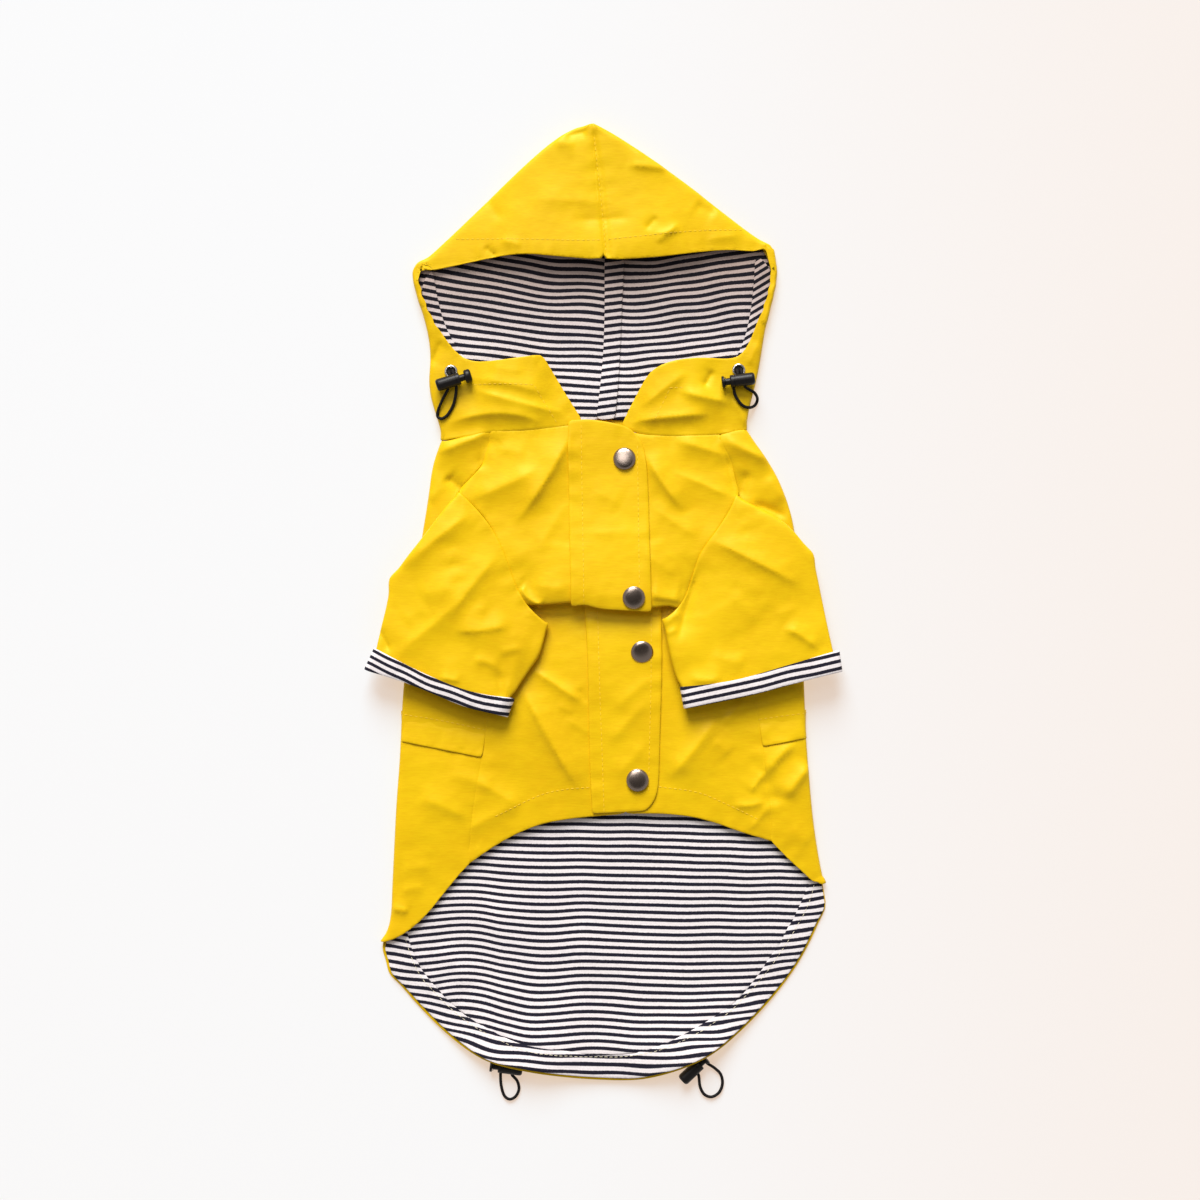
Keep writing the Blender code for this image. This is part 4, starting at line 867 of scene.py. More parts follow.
# The lining's stripes: how far their rows drift along the coat, from left to right.
TAIL_STRIPES = StripeRun(
    upper=[(-120.0, -1.5), (-90.0, 0.8), (-60.0, 0.2), (-20.0, 0.0), (40.0, -1.0), (110.0, -3.5)],
    lower=[(-122.0, 3.0), (-104.0, 5.5), (-88.0, 7.5), (-72.0, 6.8), (-59.0, 3.0), (-46.0, 0.0),
           (-30.0, -0.3), (-12.0, 1.2), (5.0, 0.6), (25.0, -0.6), (60.0, -0.6), (110.0, 1.0)],
    upper_y=-135.0, lower_y=-240.0, wander=Ripple(40.0, 0.25, 41))
FACING_STRIPES = even_run(
    [(-131.0, 16.0), (-100.0, 11.0), (-60.0, 2.0), (-20.0, -2.0), (20.0, -3.0), (60.0, 0.0), (100.0, 5.0),
     (133.0, 10.0)],
    shift=1.7, wander=Ripple(22.0, 0.6, 42))
HOOD_STRIPES_LEFT = StripeRun(
    upper=[(-112.0, 15.0), (-80.0, 10.5), (-50.0, 4.6), (-30.0, 1.6), (-12.0, 1.2), (4.0, -0.8)],
    lower=[(-112.0, 8.0), (-80.0, 6.0), (-50.0, 3.0), (-20.0, 1.0), (4.0, 0.0)],
    upper_y=200.0, lower_y=125.0, wander=Ripple(34.0, 0.3, 43))
HOOD_STRIPES_RIGHT = StripeRun(
    upper=[(4.0, 2.0), (12.0, 0.4), (22.0, 0.0), (45.0, 2.6), (70.0, 7.0), (100.0, 10.0)],
    lower=[(4.0, 0.0), (30.0, 1.6), (60.0, 5.0), (100.0, 8.0)],
    upper_y=200.0, lower_y=125.0, shift=2.0, wander=Ripple(30.0, 0.35, 44))
SIDE_STRIPES_LEFT = even_run([(-115.0, 4.0), (-95.0, 0.0)], shift=1.0)
SIDE_STRIPES_RIGHT = even_run([(84.0, -6.0), (104.0, 6.0)], shift=0.6)
TAPE_STRIPES = StripeRun([(-4.0, -1.0), (13.0, 1.2)], [(-4.0, -0.6), (13.0, 0.8)], shift=2.6)
CUFF_STRIPES_LEFT = even_run(
    [(-142.5, -30.4), (-138.0, -32.5), (-128.0, -37.7), (-118.0, -42.1), (-105.0, -48.7), (-90.0, -53.7),
     (-75.0, -59.3), (-62.0, -61.8), (-56.5, -62.6)],
    shift=2.18, scale=1.03)
CUFF_STRIPES_RIGHT = even_run(
    [(47.4, -55.8), (50.0, -55.2), (65.0, -52.0), (80.0, -48.9), (95.0, -45.6), (110.0, -41.5),
     (125.0, -38.6), (138.0, -35.6), (142.6, -34.6)],
    shift=2.18)

# Tugs that bring each piece's outline to its place: at corners, elbows, rims and the hood's peak.
TAIL_PULLS: list[Pull] = [
    Pull((-131.0, -209.0), (-3.2, 0.8), 8.0),
    Pull((-125.5, -221.5), (-2.4, -0.8), 7.0),
    Pull((132.0, -181.0), (1.8, -1.2), 8.0),
    Pull((132.0, -172.0), (-1.2, 5.4), 6.0),
    Pull((103.0, -144.0), (-1.4, 0.6), 4.0),
    Pull((-83.0, -156.0), (1.4, 0.4), 4.0),
    Pull((80.0, 100.5), (0.0, 1.6), 8.0),
]
PULLS: dict[str, list[Pull]] = {
    "back_panel": TAIL_PULLS,
    "hem_facing": TAIL_PULLS,
    "front_left": [
        Pull((-80.5, -154.5), (-1.4, -1.6), 4.0),
        Pull((-69.5, 87.5), (-1.2, 0.0), 5.0),
    ],
    "front_right": [
        Pull((100.5, -141.5), (1.6, -1.4), 4.0),
        Pull((69.0, 98.0), (1.2, 0.8), 4.0),
        Pull((79.5, 66.0), (1.4, -1.0), 4.0),
    ],
    "placket_upper": [Pull((-11.5, -5.5), (0.0, 2.0), 7.0)],
    "hood_left": [
        Pull((-9.5, 285.6), (1.6, -0.6), 4.0),
        Pull((-7.1, 281.4), (0.4, 2.6), 3.0),
        Pull((-106.5, 191.0), (-3.0, 0.4), 4.0),
        Pull((-104.5, 183.5), (-3.0, 0.4), 4.0),
        Pull((-101.5, 175.5), (-2.8, 0.2), 4.0),
        Pull((-97.5, 167.5), (-2.0, 0.0), 4.0),
        Pull((-107.5, 199.5), (-2.2, 2.0), 4.5),
    ],
    "hood_right": [
        Pull((-4.4, 285.5), (-0.6, -0.4), 3.0),
        Pull((-6.6, 281.4), (0.0, 2.6), 3.0),
        Pull((100.0, 197.0), (1.6, 0.3), 3.6),
        Pull((99.0, 189.5), (1.6, 0.3), 3.6),
        Pull((97.0, 182.0), (1.6, 0.2), 3.6),
        Pull((94.5, 174.0), (1.3, 0.0), 3.6),
        Pull((98.5, 206.0), (0.4, 5.0), 6.5),
    ],
    "sleeve_left": [Pull((-126.5, 13.0), (-2.4, 1.2), 6.0)],
    "sleeve_right": [
        Pull((124.5, 27.5), (1.6, 1.2), 6.0),
        Pull((80.0, 62.0), (0.0, 2.2), 5.0),
    ],
    "pocket_flap_left": [Pull((-127.5, -78.0), (1.8, 0.0), 13.0)],
    "pocket_flap_right": [Pull((125.5, -76.0), (-1.4, 0.0), 12.0)],
    "hood_facing_left": [Pull((-110.0, 197.0), (0.0, 3.0), 5.0)],
    "hood_facing_right": [Pull((97.5, 206.0), (0.0, 6.0), 6.0)],
}


@dataclass
class Garment:
    """The coat's cut pieces, from the back panel up to the flaps and cuffs."""

    shell: bpy.types.Material
    jersey: bpy.types.Material
    flat_back: float = 3.0
    # Where the lining's painted shade starts, and where, under the hood's brow, it is darkest.
    hood_shade: Plan = (128.0, 212.0)

    def build(self) -> list[bpy.types.Object]:
        """Makes every cut piece of the coat.

        Returns:
            The finished pieces.
        """
        pieces = [piece.build(self.shell) for piece in self._shell_pieces()]
        return pieces + [piece.build(self.jersey) for piece in self._lining_pieces()]

    def _shell_pieces(self) -> list[ClothPiece]:
        """Lists the pieces cut from coated cloth.

        Returns:
            The pieces, each with the size of its cut and how far it reaches over its seams.
        """
        laid = {"slot": "shell", "folds": FRONT_FOLDS, "ripples": FRONT_RIPPLES}
        folded = dict(laid, held=Held.FOLDED)
        wrapped = dict(folded, upper_from=self.flat_back)
        flap = dict(wrapped, folds=FRONT_FOLDS + FLAP_FOLDS, grow=0.2)
        return [
            self._piece("back_panel", (0.265, 0.585, 0.1057), wrapped, finest=2.2, grow=1.0),
            self._piece("front_left", (0.125, 0.265, 0.0199), laid, grow=1.0),
            self._piece("front_right", (0.12, 0.25, 0.0175), laid, grow=1.0),
            self._piece("placket_upper", (0.052, 0.12, 0.0053), laid),
            self._piece("placket_lower", (0.048, 0.135, 0.0058), laid),
            self._piece("hood_left", (0.26, 0.19, 0.0254), wrapped, grow=1.0),
            self._piece("hood_right", (0.24, 0.19, 0.0229), wrapped, grow=1.0),
            self._piece("sleeve_left", (0.15, 0.13, 0.0149), folded, grow=0.8),
            self._piece("sleeve_right", (0.15, 0.13, 0.0148), folded, grow=1.3),
            self._piece("pocket_flap_left", (0.075, 0.033, 0.0022), flap),
            self._piece("pocket_flap_right", (0.062, 0.03, 0.0017), flap),
        ]

    def _lining_pieces(self) -> list[ClothPiece]:
        """Lists the pieces cut from striped jersey.

        Returns:
            The pieces, each with the size of its cut and its stripes.
        """
        under = {"slot": "lining", "sink_limit": 0.4, "finest": 2.6}
        tail = dict(under, folds=TAIL_FOLDS, ripples=TAIL_RIPPLES, grow=1.1)
        hood = dict(under, ripples=HOOD_LINING_RIPPLES, painted_shade_y=self.hood_shade)
        cuff = {"slot": "lining", "folds": FRONT_FOLDS, "ripples": FRONT_RIPPLES, "held": Held.FOLDED}
        return [
            self._piece("tail_lining", (0.242, 0.17, 0.0332), tail, stripes=TAIL_STRIPES),
            self._piece("hem_facing", (0.41, 0.02, 0.0049), tail, stripes=FACING_STRIPES),
            self._piece("hood_lining_left", (0.12, 0.13, 0.0127), hood, stripes=HOOD_STRIPES_LEFT),
            self._piece("hood_lining_right", (0.1, 0.13, 0.0106), hood, stripes=HOOD_STRIPES_RIGHT),
            self._piece("hood_facing_left", (0.015, 0.065, 0.0006), hood, stripes=SIDE_STRIPES_LEFT),
            self._piece("hood_facing_right", (0.014, 0.07, 0.0006), hood, stripes=SIDE_STRIPES_RIGHT),
            self._piece("hood_centre_tape", (0.012, 0.11, 0.0012), hood, stripes=TAPE_STRIPES),
            self._piece("cuff_left", (0.1, 0.023, 0.002), cuff, stripes=CUFF_STRIPES_LEFT),
            self._piece("cuff_right", (0.104, 0.025, 0.0025), cuff, stripes=CUFF_STRIPES_RIGHT),
        ]

    @staticmethod
    def _piece(node: str, cut: tuple[float, float, float], manner: dict, **own: object) -> ClothPiece:
        """Puts together one cut piece.

        Args:
            node: The solid that it replaces.
            cut: Its flat width and length in metres and its area in square metres.
            manner: What it shares with the pieces made as it is.
            **own: What is its own.

        Returns:
            The piece, yet to be built.
        """
        return ClothPiece(node, cut=cut, pulls=PULLS.get(node, []), **manner, **own)


def smooth_mesh(name: str, shape: bmesh.types.BMesh) -> bpy.types.Mesh:
    """Turns a drawn shape into a mesh.

    Args:
        name: The mesh's name.
        shape: The shape, which is used up.

    Returns:
        The mesh, smooth and with its faces outward.
    """
    bmesh.ops.recalc_face_normals(shape, faces=shape.faces)
    mesh = bpy.data.meshes.new(name)
    shape.to_mesh(mesh)
    shape.free()
    mesh.shade_smooth()
    return mesh


def lathe(name: str, profile: list[Plan], place: Vector, axis: Vector, steps: int = 40) -> bpy.types.Mesh:
    """Turns a profile about an axis.

    Args:
        name: The mesh's name.
        profile: Places along the axis and their radii, in millimetres, from one end to the other.
        place: The profile's zero in the frame, in metres.
        axis: The direction of the axis.
        steps: Facets all round.

    Returns:
        The turned mesh, in place.
    """
    shape = bmesh.new()
    rings = []
    for along, radius in profile:
        if radius == 0.0:
            rings.append([shape.verts.new((0.0, 0.0, along * MM))])
            continue
        reach = radius * MM
        turns = [math.tau * step / steps for step in range(steps)]
        rings.append([shape.verts.new((reach * math.cos(turn), reach * math.sin(turn), along * MM))
                      for turn in turns])
    closed = profile[0][1] > 0.0
    for first, second in zip(rings, rings[1:] + (rings[:1] if closed else [])):
        for step in range(steps):
            after = (step + 1) % steps
            corners = [first[step % len(first)], first[after % len(first)]]
            corners += [second[after % len(second)], second[step % len(second)]]
            shape.faces.new(list(dict.fromkeys(corners)))
    turn = axis.to_track_quat("Z", "Y").to_matrix().to_4x4()
    bmesh.ops.transform(shape, matrix=turn, verts=shape.verts)
    bmesh.ops.translate(shape, vec=place, verts=shape.verts)
    mesh = smooth_mesh(name, shape)
    mesh.set_sharp_from_angle(angle=SHARP_TURN)
    return mesh


def smooth_route(points: list[Vector], spacing: float) -> list[Vector]:
    """A smooth curve through points, read at even spacing.

    Args:
        points: Places that the curve passes.
        spacing: Distance between the places that are read.

    Returns:
        The places along the curve.
    """
    ends = [points[0] * 2 - points[1]] + points + [points[-1] * 2 - points[-2]]
    fine = []
    for before, start, end, after in zip(ends, ends[1:], ends[2:], ends[3:]):
        square = before * 2 - start * 5 + end * 4 - after
        cube = start * 3 - before - end * 3 + after
        for step in range(ROUTE_STEPS):
            t = step / ROUTE_STEPS
            bend = square * t * t + cube * t ** 3
            fine.append((start * 2 + (end - before) * t + bend) / 2)
    fine.append(points[-1])
    marks = np.cumsum([0.0] + [(b - a).length for a, b in zip(fine, fine[1:])])
    count = max(2, round(marks[-1] / spacing) + 1)
    places = np.linspace(0.0, marks[-1], count)
    table = np.array([place[:] for place in fine])
    columns = [np.interp(places, marks, table[:, axis]) for axis in range(3)]
    return [Vector(row) for row in np.stack(columns, axis=1)]


def tube(name: str, route: list[Vector], radius: float, sides: int = 12) -> bpy.types.Mesh:
    """A round tube along a route, closed at its ends, with a UV map that runs along and round it.

    Args:
        name: The mesh's name.
        route: Its centreline, in metres.
        radius: Its radius, in metres.
        sides: Facets all round.

    Returns:
        The tube.
    """
    shape = bmesh.new()
    wrap = shape.loops.layers.uv.new("braid")
    rings = []
    side = UP.copy()
    marks = [0.0]
    for a, b in zip(route, route[1:]):
        marks.append(marks[-1] + (b - a).length)
    for index, place in enumerate(route):
        ahead = (route[min(index + 1, len(route) - 1)] - route[max(index - 1, 0)]).normalized()
        side = (side - ahead * side.dot(ahead)).normalized()
        other = ahead.cross(side)
        turns = [math.tau * k / sides for k in range(sides)]
        rings.append([shape.verts.new(place + (side * math.cos(turn) + other * math.sin(turn)) * radius)
                      for turn in turns])
    for row, (near, far) in enumerate(zip(rings, rings[1:])):
        for k in range(sides):
            after = (k + 1) % sides
            face = shape.faces.new([near[k], near[after], far[after], far[k]])
            spots = [(marks[row], k), (marks[row], k + 1), (marks[row + 1], k + 1), (marks[row + 1], k)]
            for loop, (mark, turn) in zip(face.loops, spots):
                loop[wrap].uv = (mark / radius, turn / sides)
    shape.faces.new(list(reversed(rings[0])))
    shape.faces.new(rings[-1])
    return smooth_mesh(name, shape)


class Surface:
    """The upper surface of the finished cloth, read from above."""

    def __init__(self, pieces: list[bpy.types.Object]) -> None:
        """Gathers the faces of the pieces.

        Args:
            pieces: The finished cloth.
        """
        corners: list[Vector] = []
        faces: list[list[int]] = []
        for piece in pieces:
            first = len(corners)
            corners += [vertex.co.copy() for vertex in piece.data.vertices]
            faces += [[first + index for index in polygon.vertices] for polygon in piece.data.polygons]
        self.tree = BVHTree.FromPolygons(corners, faces)

    def height(self, x: float, y: float) -> float:
        """Height of the cloth at a plan place in millimetres, in metres, or of the floor beside it."""
        spot = self.tree.ray_cast(Vector((x * MM, y * MM, 0.1)), -UP)[0]
        return spot.z if spot is not None else 0.0


@dataclass
class SnapCap:
    """A spun snap cap: a shallow dome with a rolled edge, tipped a little with the cloth under it."""

    node: str
    tip: Plan
    radius: float = 6.7
    height: float = 2.3
    roll: float = 0.55
    lip: float = 1.25
    shoulder: float = 0.5
    clearance: float = 0.1

    def build(self, material: bpy.types.Material, cloth: Surface) -> bpy.types.Object:
        """Makes the cap in place of its node, seated on the cloth.

        Args:
            material: Its finish.
            cloth: The surface that it sits on.

        Returns:
            The cap.
        """
        foot = middle_of_foot(self.node)
        foot.z = max(foot.z, cloth.height(foot.x / MM, foot.y / MM) + self.clearance * MM)
        r, dome = self.radius, self.radius - self.shoulder
        profile = [(0.0, 0.0), (0.0, r - self.roll), (0.25, r - 0.1), (0.6, r), (1.0, r - 0.12),
                   (self.lip, dome)]
        for step in range(1, 9):
            turn = step / 8 * math.pi / 2
            profile.append((self.lip + (self.height - self.lip) * math.sin(turn), dome * math.cos(turn)))
        profile[-1] = (self.height, 0.0)
        lean_x, lean_y = (math.sin(math.radians(angle)) for angle in self.tip)
        name = "cap_" + self.node
        mesh = lathe(name, profile, foot, Vector((lean_x, lean_y, 1.0)).normalized(), steps=64)
        LOG.info("%s: %d faces", name, len(mesh.polygons))
        return dressed(new_piece(name, mesh), material, "snap", self.node)


@dataclass
class CordLock:
    """A barrel lock: a moulded barrel with a spring plunger, and the loop of elastic that it holds.

    Attributes:
        place: Where on the coat it is, as in its nodes' names.
        route: The loop's way in the plan, from the barrel's side and back to it.
        eyelet: Whether the cord comes out of an eyelet that shows.
        cap_like: Whether its plunger has a domed thumb cap in place of a disc.
    """

    place: str
    route: list[Plan]
    eyelet: bool = False
    cap_like: bool = False
    barrel_radius: float = 3.7
    barrel_length: float = 14.6
    bore_radius: float = 2.5
    bore_depth: float = 10.5
    stem_radius: float = 2.1
    plunger_inside: float = 7.7
    plunger_out: float = 5.0
    cord_radius: float = 0.9
    start_drop: float = 1.4
    drop_points: float = 2.5
    strand_offset: float = 1.15
    strand_rise: float = 1.6
    eyelet_radius: float = 4.0
    eyelet_hole: float = 2.3
    eyelet_foot: float = 0.05
    eyelet_height: float = 0.85

    def build(self, plastic: bpy.types.Material, elastic: bpy.types.Material, silver: bpy.types.Material,
              cloth: Surface) -> list[bpy.types.Object]:
        """Makes the lock, its loop and its eyelet.

        Args:
            plastic: The lock's finish.
            elastic: The cord's finish.
            silver: The eyelet's finish.
            cloth: The surface that the loop lies on.

        Returns:
            The pieces.
        """
        self._find_axis()
        with_loop = [self._barrel(plastic), self._plunger(plastic)]
        if self.eyelet:
            with_loop += self._necks(elastic)
        pieces = with_loop + [self._loop(elastic, cloth)]
        if self.eyelet:
            pieces += self._eyelet(silver, elastic)
        LOG.info("cord lock %s: %d pieces", self.place, len(pieces))
        return pieces

    def _find_axis(self) -> None:
        """Reads the lock's place and direction from its two solids."""
        barrel = sum(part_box(f"cord_lock_{self.place}_barrel"), Vector()) / 2
        plunger = sum(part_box(f"cord_lock_{self.place}_plunger"), Vector()) / 2
        self.axis = (plunger - barrel).normalized()
        self.heel = barrel - self.axis * (self.barrel_length / 2 * MM)
        self.mouth = barrel + self.axis * (self.barrel_length / 2 * MM)

    def _barrel(self, plastic: bpy.types.Material) -> bpy.types.Object:
        """Makes the barrel, with a stepped heel, a groove behind its mouth and its bore.

        Args:
            plastic: Its finish.

        Returns:
            The barrel.
        """
        r, end, bore = self.barrel_radius, self.barrel_length, self.bore_radius
        profile = [(0.0, 0.0), (0.0, r - 1.1), (0.2, r - 0.7), (0.7, r - 0.25), (1.4, r - 0.03), (2.2, r),
                   (end - 2.6, r), (end - 2.5, r - 0.14), (end - 2.1, r - 0.14), (end - 2.0, r),
                   (end - 0.5, r), (end - 0.15, r - 0.15), (end, r - 0.45), (end, bore + 0.2),
                   (end - 0.2, bore), (end - self.bore_depth, bore), (end - self.bore_depth, 0.0)]
        name = f"barrel_{self.place}"
        mesh = lathe(name, profile, self.heel, self.axis)
        return dressed(new_piece(name, mesh), plastic, "lock", f"cord_lock_{self.place}_barrel")

    def _plunger(self, plastic: bpy.types.Material) -> bpy.types.Object:
        """Makes the plunger: a stem with a collar and a dished thumb disc, or with a domed cap.

        Args:
            plastic: Its finish.

        Returns:
            The plunger.
        """
        r, out, stem = self.barrel_radius, self.plunger_out, self.stem_radius
        profile = [(-self.plunger_inside, 0.0), (-self.plunger_inside, stem)]
        if self.cap_like:
            profile += [(2.9, stem), (3.0, r - 0.3), (3.3, r + 0.1), (4.2, r + 0.35), (6.0, r + 0.3),
                        (6.7, r - 0.1), (7.0, r - 0.7), (7.1, 0.0)]
        else:
            profile += [(2.7, stem), (2.75, stem + 0.9), (3.1, stem + 0.9), (3.15, stem - 0.3),
                        (out - 1.6, stem - 0.3), (out - 1.5, r - 0.25), (out - 1.3, r), (out - 0.35, r),
                        (out - 0.1, r - 0.15), (out, r - 0.4), (out, r - 0.9), (out - 0.25, r - 1.2),
                        (out - 0.3, 0.0)]
        name = f"plunger_{self.place}"
        mesh = lathe(name, profile, self.mouth, self.axis)
        return dressed(new_piece(name, mesh), plastic, "lock", f"cord_lock_{self.place}_plunger", body=name)

    def _necks(self, elastic: bpy.types.Material) -> list[bpy.types.Object]:
        """Makes the two strands between the eyelet and the barrel.

        Args:
            elastic: Their finish.

        Returns:
            The strands.
        """
        hole = middle_of_foot(f"eyelet_{self.place}")
        across = Vector((self.axis.x, self.axis.y, 0.0)) * (1.0 if self.axis.x > 0 else -1.0)
        away = Vector((-across.y, across.x, 0.0))
        middle = (self.heel + self.mouth) / 2
        rise = UP * (self.strand_rise * MM)
        pieces = []
        for strand, offset in (("a", -self.strand_offset), ("b", self.strand_offset)):
            start = hole + across * (offset * MM)
            meet = self.heel + self.axis * (start - self.heel).dot(self.axis)
            end = Vector((meet.x, meet.y, middle.z)) + away * (self.barrel_radius - 0.6) * MM
            route = smooth_route([start, start + rise, end.lerp(start, 0.35) + rise, end], 0.4 * MM)
            name = f"neck_{self.place}_{strand}"
            piece = new_piece(name, tube(name, route, self.cord_radius * MM))
            pieces.append(dressed(piece, elastic, "cord", f"cord_neck_{self.place}_{strand}"))
        return pieces

    def _loop(self, elastic: bpy.types.Material, cloth: Surface) -> bpy.types.Object:
        """Makes the free loop, from the barrel's side down onto what lies under it and back.

        Args:
            elastic: Its finish.
            cloth: The surface that it lies on.

        Returns:
            The loop.
        """
        start_z = (self.heel.z + self.mouth.z) / 2 - self.start_drop * MM
        last = len(self.route) - 1
        points = []
        for index, (x, y) in enumerate(self.route):
            share = float(ease(np.array(min(index, last - index) / self.drop_points)))
            rest = cloth.height(x, y) + (self.cord_radius + 0.1) * MM
            points.append(Vector((x * MM, y * MM, start_z * (1 - share) + rest * share)))
        inside = [self._into_barrel(points[0]), self._into_barrel(points[-1])]
        route = smooth_route([inside[0]] + points + [inside[1]], 0.5 * MM)
        name = f"loop_{self.place}"
        piece = dressed(new_piece(name, tube(name, route, self.cord_radius * MM)), elastic, "cord",
                        f"cord_loop_{self.place}")
        return piece

    def _into_barrel(self, place: Vector) -> Vector:
        """The place just inside the barrel's side that a strand comes out of."""
        foot = self.heel + self.axis * (place - self.heel).dot(self.axis)
        return foot + (place - foot).normalized() * ((self.barrel_radius - 0.7) * MM)

    def _eyelet(self, silver: bpy.types.Material, elastic: bpy.types.Material) -> list[bpy.types.Object]:
        """Makes the rolled metal eyelet, and a black disc in its hole, which stands for the cord inside and
        paints the hole's shade.

        Args:
            silver: The eyelet's finish.
            elastic: The finish of what shows in its hole.

        Returns:
            The eyelet and the black disc.
        """
        node = f"eyelet_{self.place}"
        foot = middle_of_foot(node)
        r, hole = self.eyelet_radius, self.eyelet_hole
        middle, half = (r + hole) / 2, (r - hole) / 2
        low, rise = self.eyelet_foot, self.eyelet_height
        turns = [math.tau * step / 16 for step in range(9)]
        profile = [(low + rise * max(0.0, math.sin(turn)), middle + half * math.cos(turn)) for turn in turns]
        profile += [(0.0, hole), (0.0, r)]
        ring = new_piece("ring_" + node, lathe("ring_" + node, profile, foot, UP))
        # A black disc on the hole's floor: partly the black cord inside, partly painted shade.
        disc = [(0.0, 0.0), (0.0, hole + 0.05), (0.12, hole + 0.05), (0.12, 0.0)]
        bore = new_piece("bore_" + node, lathe("bore_" + node, disc, foot, UP))
        return [dressed(ring, silver, "eyelet", node), dressed(bore, elastic, "cord")]


@dataclass
class Stitching:
    """Rows of lockstitch, laid on the cloth along plan lines by Geometry Nodes."""

    name: str
    lines: list[list[Plan]]
    pitch: float = 3.0
    length: float = 2.3
    radius: float = 0.16
    proud: float = 0.06

    def build(self, thread: bpy.types.Material, cloth: Surface) -> bpy.types.Object:
        """Lays the stitches.

        Args:
            thread: The thread's finish.
            cloth: The surface that they lie on.

        Returns:
            All the stitches of the rows, as one piece.
        """
        guide = bpy.data.meshes.new(self.name)
        corners, edges = [], []
        for line in self.lines:
            route = smooth_route([Vector((x, y, 0.0)) for x, y in line], 1.0)
            first = len(corners)
            corners += [(place.x * MM, place.y * MM, cloth.height(place.x, place.y) + self.proud * MM)
                        for place in route]
            edges += [(first + index, first + index + 1) for index in range(len(route) - 1)]
        guide.from_pydata(corners, edges, [])
        holder = new_piece(self.name + "_guide", guide)
        tree = self._tree()
        modifier = holder.modifiers.new("stitch", "NODES")
        modifier.node_group = tree
        values = {"Pitch": self.pitch * MM, "Length": self.length * MM, "Radius": self.radius * MM,
                  "Thread": thread}
        for item in tree.interface.items_tree:
            if item.name in values:
                modifier[item.identifier] = values[item.name]
        mesh = bpy.data.meshes.new_from_object(holder.evaluated_get(bpy.context.evaluated_depsgraph_get()))
        holder.modifiers.clear()
        bpy.data.objects.remove(holder)
        mesh.shade_smooth()
        piece = dressed(new_piece(self.name, mesh), thread, "shell")
        LOG.info("%s: %d faces", self.name, len(mesh.polygons))
        return piece

    @staticmethod
    def _tree() -> bpy.types.NodeTree:
        """Builds the node tree that sets a short thread along every line at an even pitch.

        Returns:
            The tree, with its sizes and its finish as inputs.
        """
        tree = bpy.data.node_groups.new("lockstitch", "GeometryNodeTree")
        face = tree.interface
        face.new_socket("Geometry", in_out="INPUT", socket_type="NodeSocketGeometry")
        for name in ("Pitch", "Length", "Radius"):
            face.new_socket(name, in_out="INPUT", socket_type="NodeSocketFloat")
        face.new_socket("Thread", in_out="INPUT", socket_type="NodeSocketMaterial")
        face.new_socket("Geometry", in_out="OUTPUT", socket_type="NodeSocketGeometry")
        given = add_node(tree, "NodeGroupInput")
        lines = add_node(tree, "GeometryNodeMeshToCurve", {"Mesh": given.outputs["Geometry"]})
        spots = add_node(tree, "GeometryNodeResampleCurve", {
            "Curve": lines.outputs[0], "Length": given.outputs["Pitch"]}, mode="LENGTH")
        run = add_node(tree, "GeometryNodeInputTangent")
        turn = add_node(tree, "FunctionNodeAlignRotationToVector", {"Vector": run.outputs[0]}, axis="X")
        ball = add_node(tree, "GeometryNodeMeshUVSphere", {"Segments": 8, "Rings": 5, "Radius": 1.0})
        half = sum_of(tree, "MULTIPLY", given.outputs["Length"], 0.5)
        size = add_node(tree, "ShaderNodeCombineXYZ", {
            "X": half, "Y": given.outputs["Radius"], "Z": given.outputs["Radius"]})
        copies = add_node(tree, "GeometryNodeInstanceOnPoints", {
            "Points": spots.outputs[0], "Instance": ball.outputs["Mesh"], "Rotation": turn.outputs[0],
            "Scale": size.outputs[0]})
        real = add_node(tree, "GeometryNodeRealizeInstances", {"Geometry": copies.outputs[0]})
        finished = add_node(tree, "GeometryNodeSetMaterial", {
            "Geometry": real.outputs[0], "Material": given.outputs["Thread"]})
        add_node(tree, "NodeGroupOutput", {"Geometry": finished.outputs[0]})
        return tree


# Brass caps, spun and plated dark: the dome mirrors softly, its light streaked a little by the spinning.
SPUN_GUNMETAL = PlainFinish("spun_gunmetal", "#AD9C90", 0.27, 1.0, grain_mm=0.5, grain_depth_mm=0.01,
                            dark="#9C8B7F")
# Acetal, moulded in one shot: black all through, its gloss dulled by the fine peel of the mould.
MOULDED_ACETAL = PlainFinish("moulded_black_acetal", "#151211", 0.38, grain_mm=0.35, gloss=0.26)
# Rubber cord under a tight polyester braid: matt, the crossing yarns a small even bumpiness.
BRAIDED_ELASTIC = PlainFinish("braided_black_elastic", "#131010", 0.7, grain_mm=0.3, grain_depth_mm=0.08,
                              gloss=0.2)
# Drawn brass, rolled over and nickelled: bright and smooth, so that it mirrors the room.
NICKELLED_BRASS = PlainFinish("nickelled_brass", "#D8D4CE", 0.22, 1.0, grain_depth_mm=0.004)
# Spun polyester sewing thread: fuzzy and matt, so that it looks a shade paler than the coated shell.
SHELL_THREAD = PlainFinish("spun_polyester_thread", "#F2C933", 0.6, grain_mm=0.3)
# The same thread in straw, for the lining.
LINING_THREAD = PlainFinish("pale_polyester_thread", "#EDE3C4", 0.6, grain_mm=0.3)
# Matt black board, which takes the light out of what mirrors it.
BLACK_BOARD = PlainFinish("card_black", "#1C1613", 0.9, grain_depth_mm=0.0)

# How far each snap cap leans with the cloth under it, in degrees toward X and toward Y.
SNAP_TIPS: dict[str, Plan] = {
    "snap_1": (-3.0, 7.0),
    "snap_2": (0.0, -3.0),
    "snap_3": (2.0, -9.0),
    "snap_4": (0.0, 3.0),
}

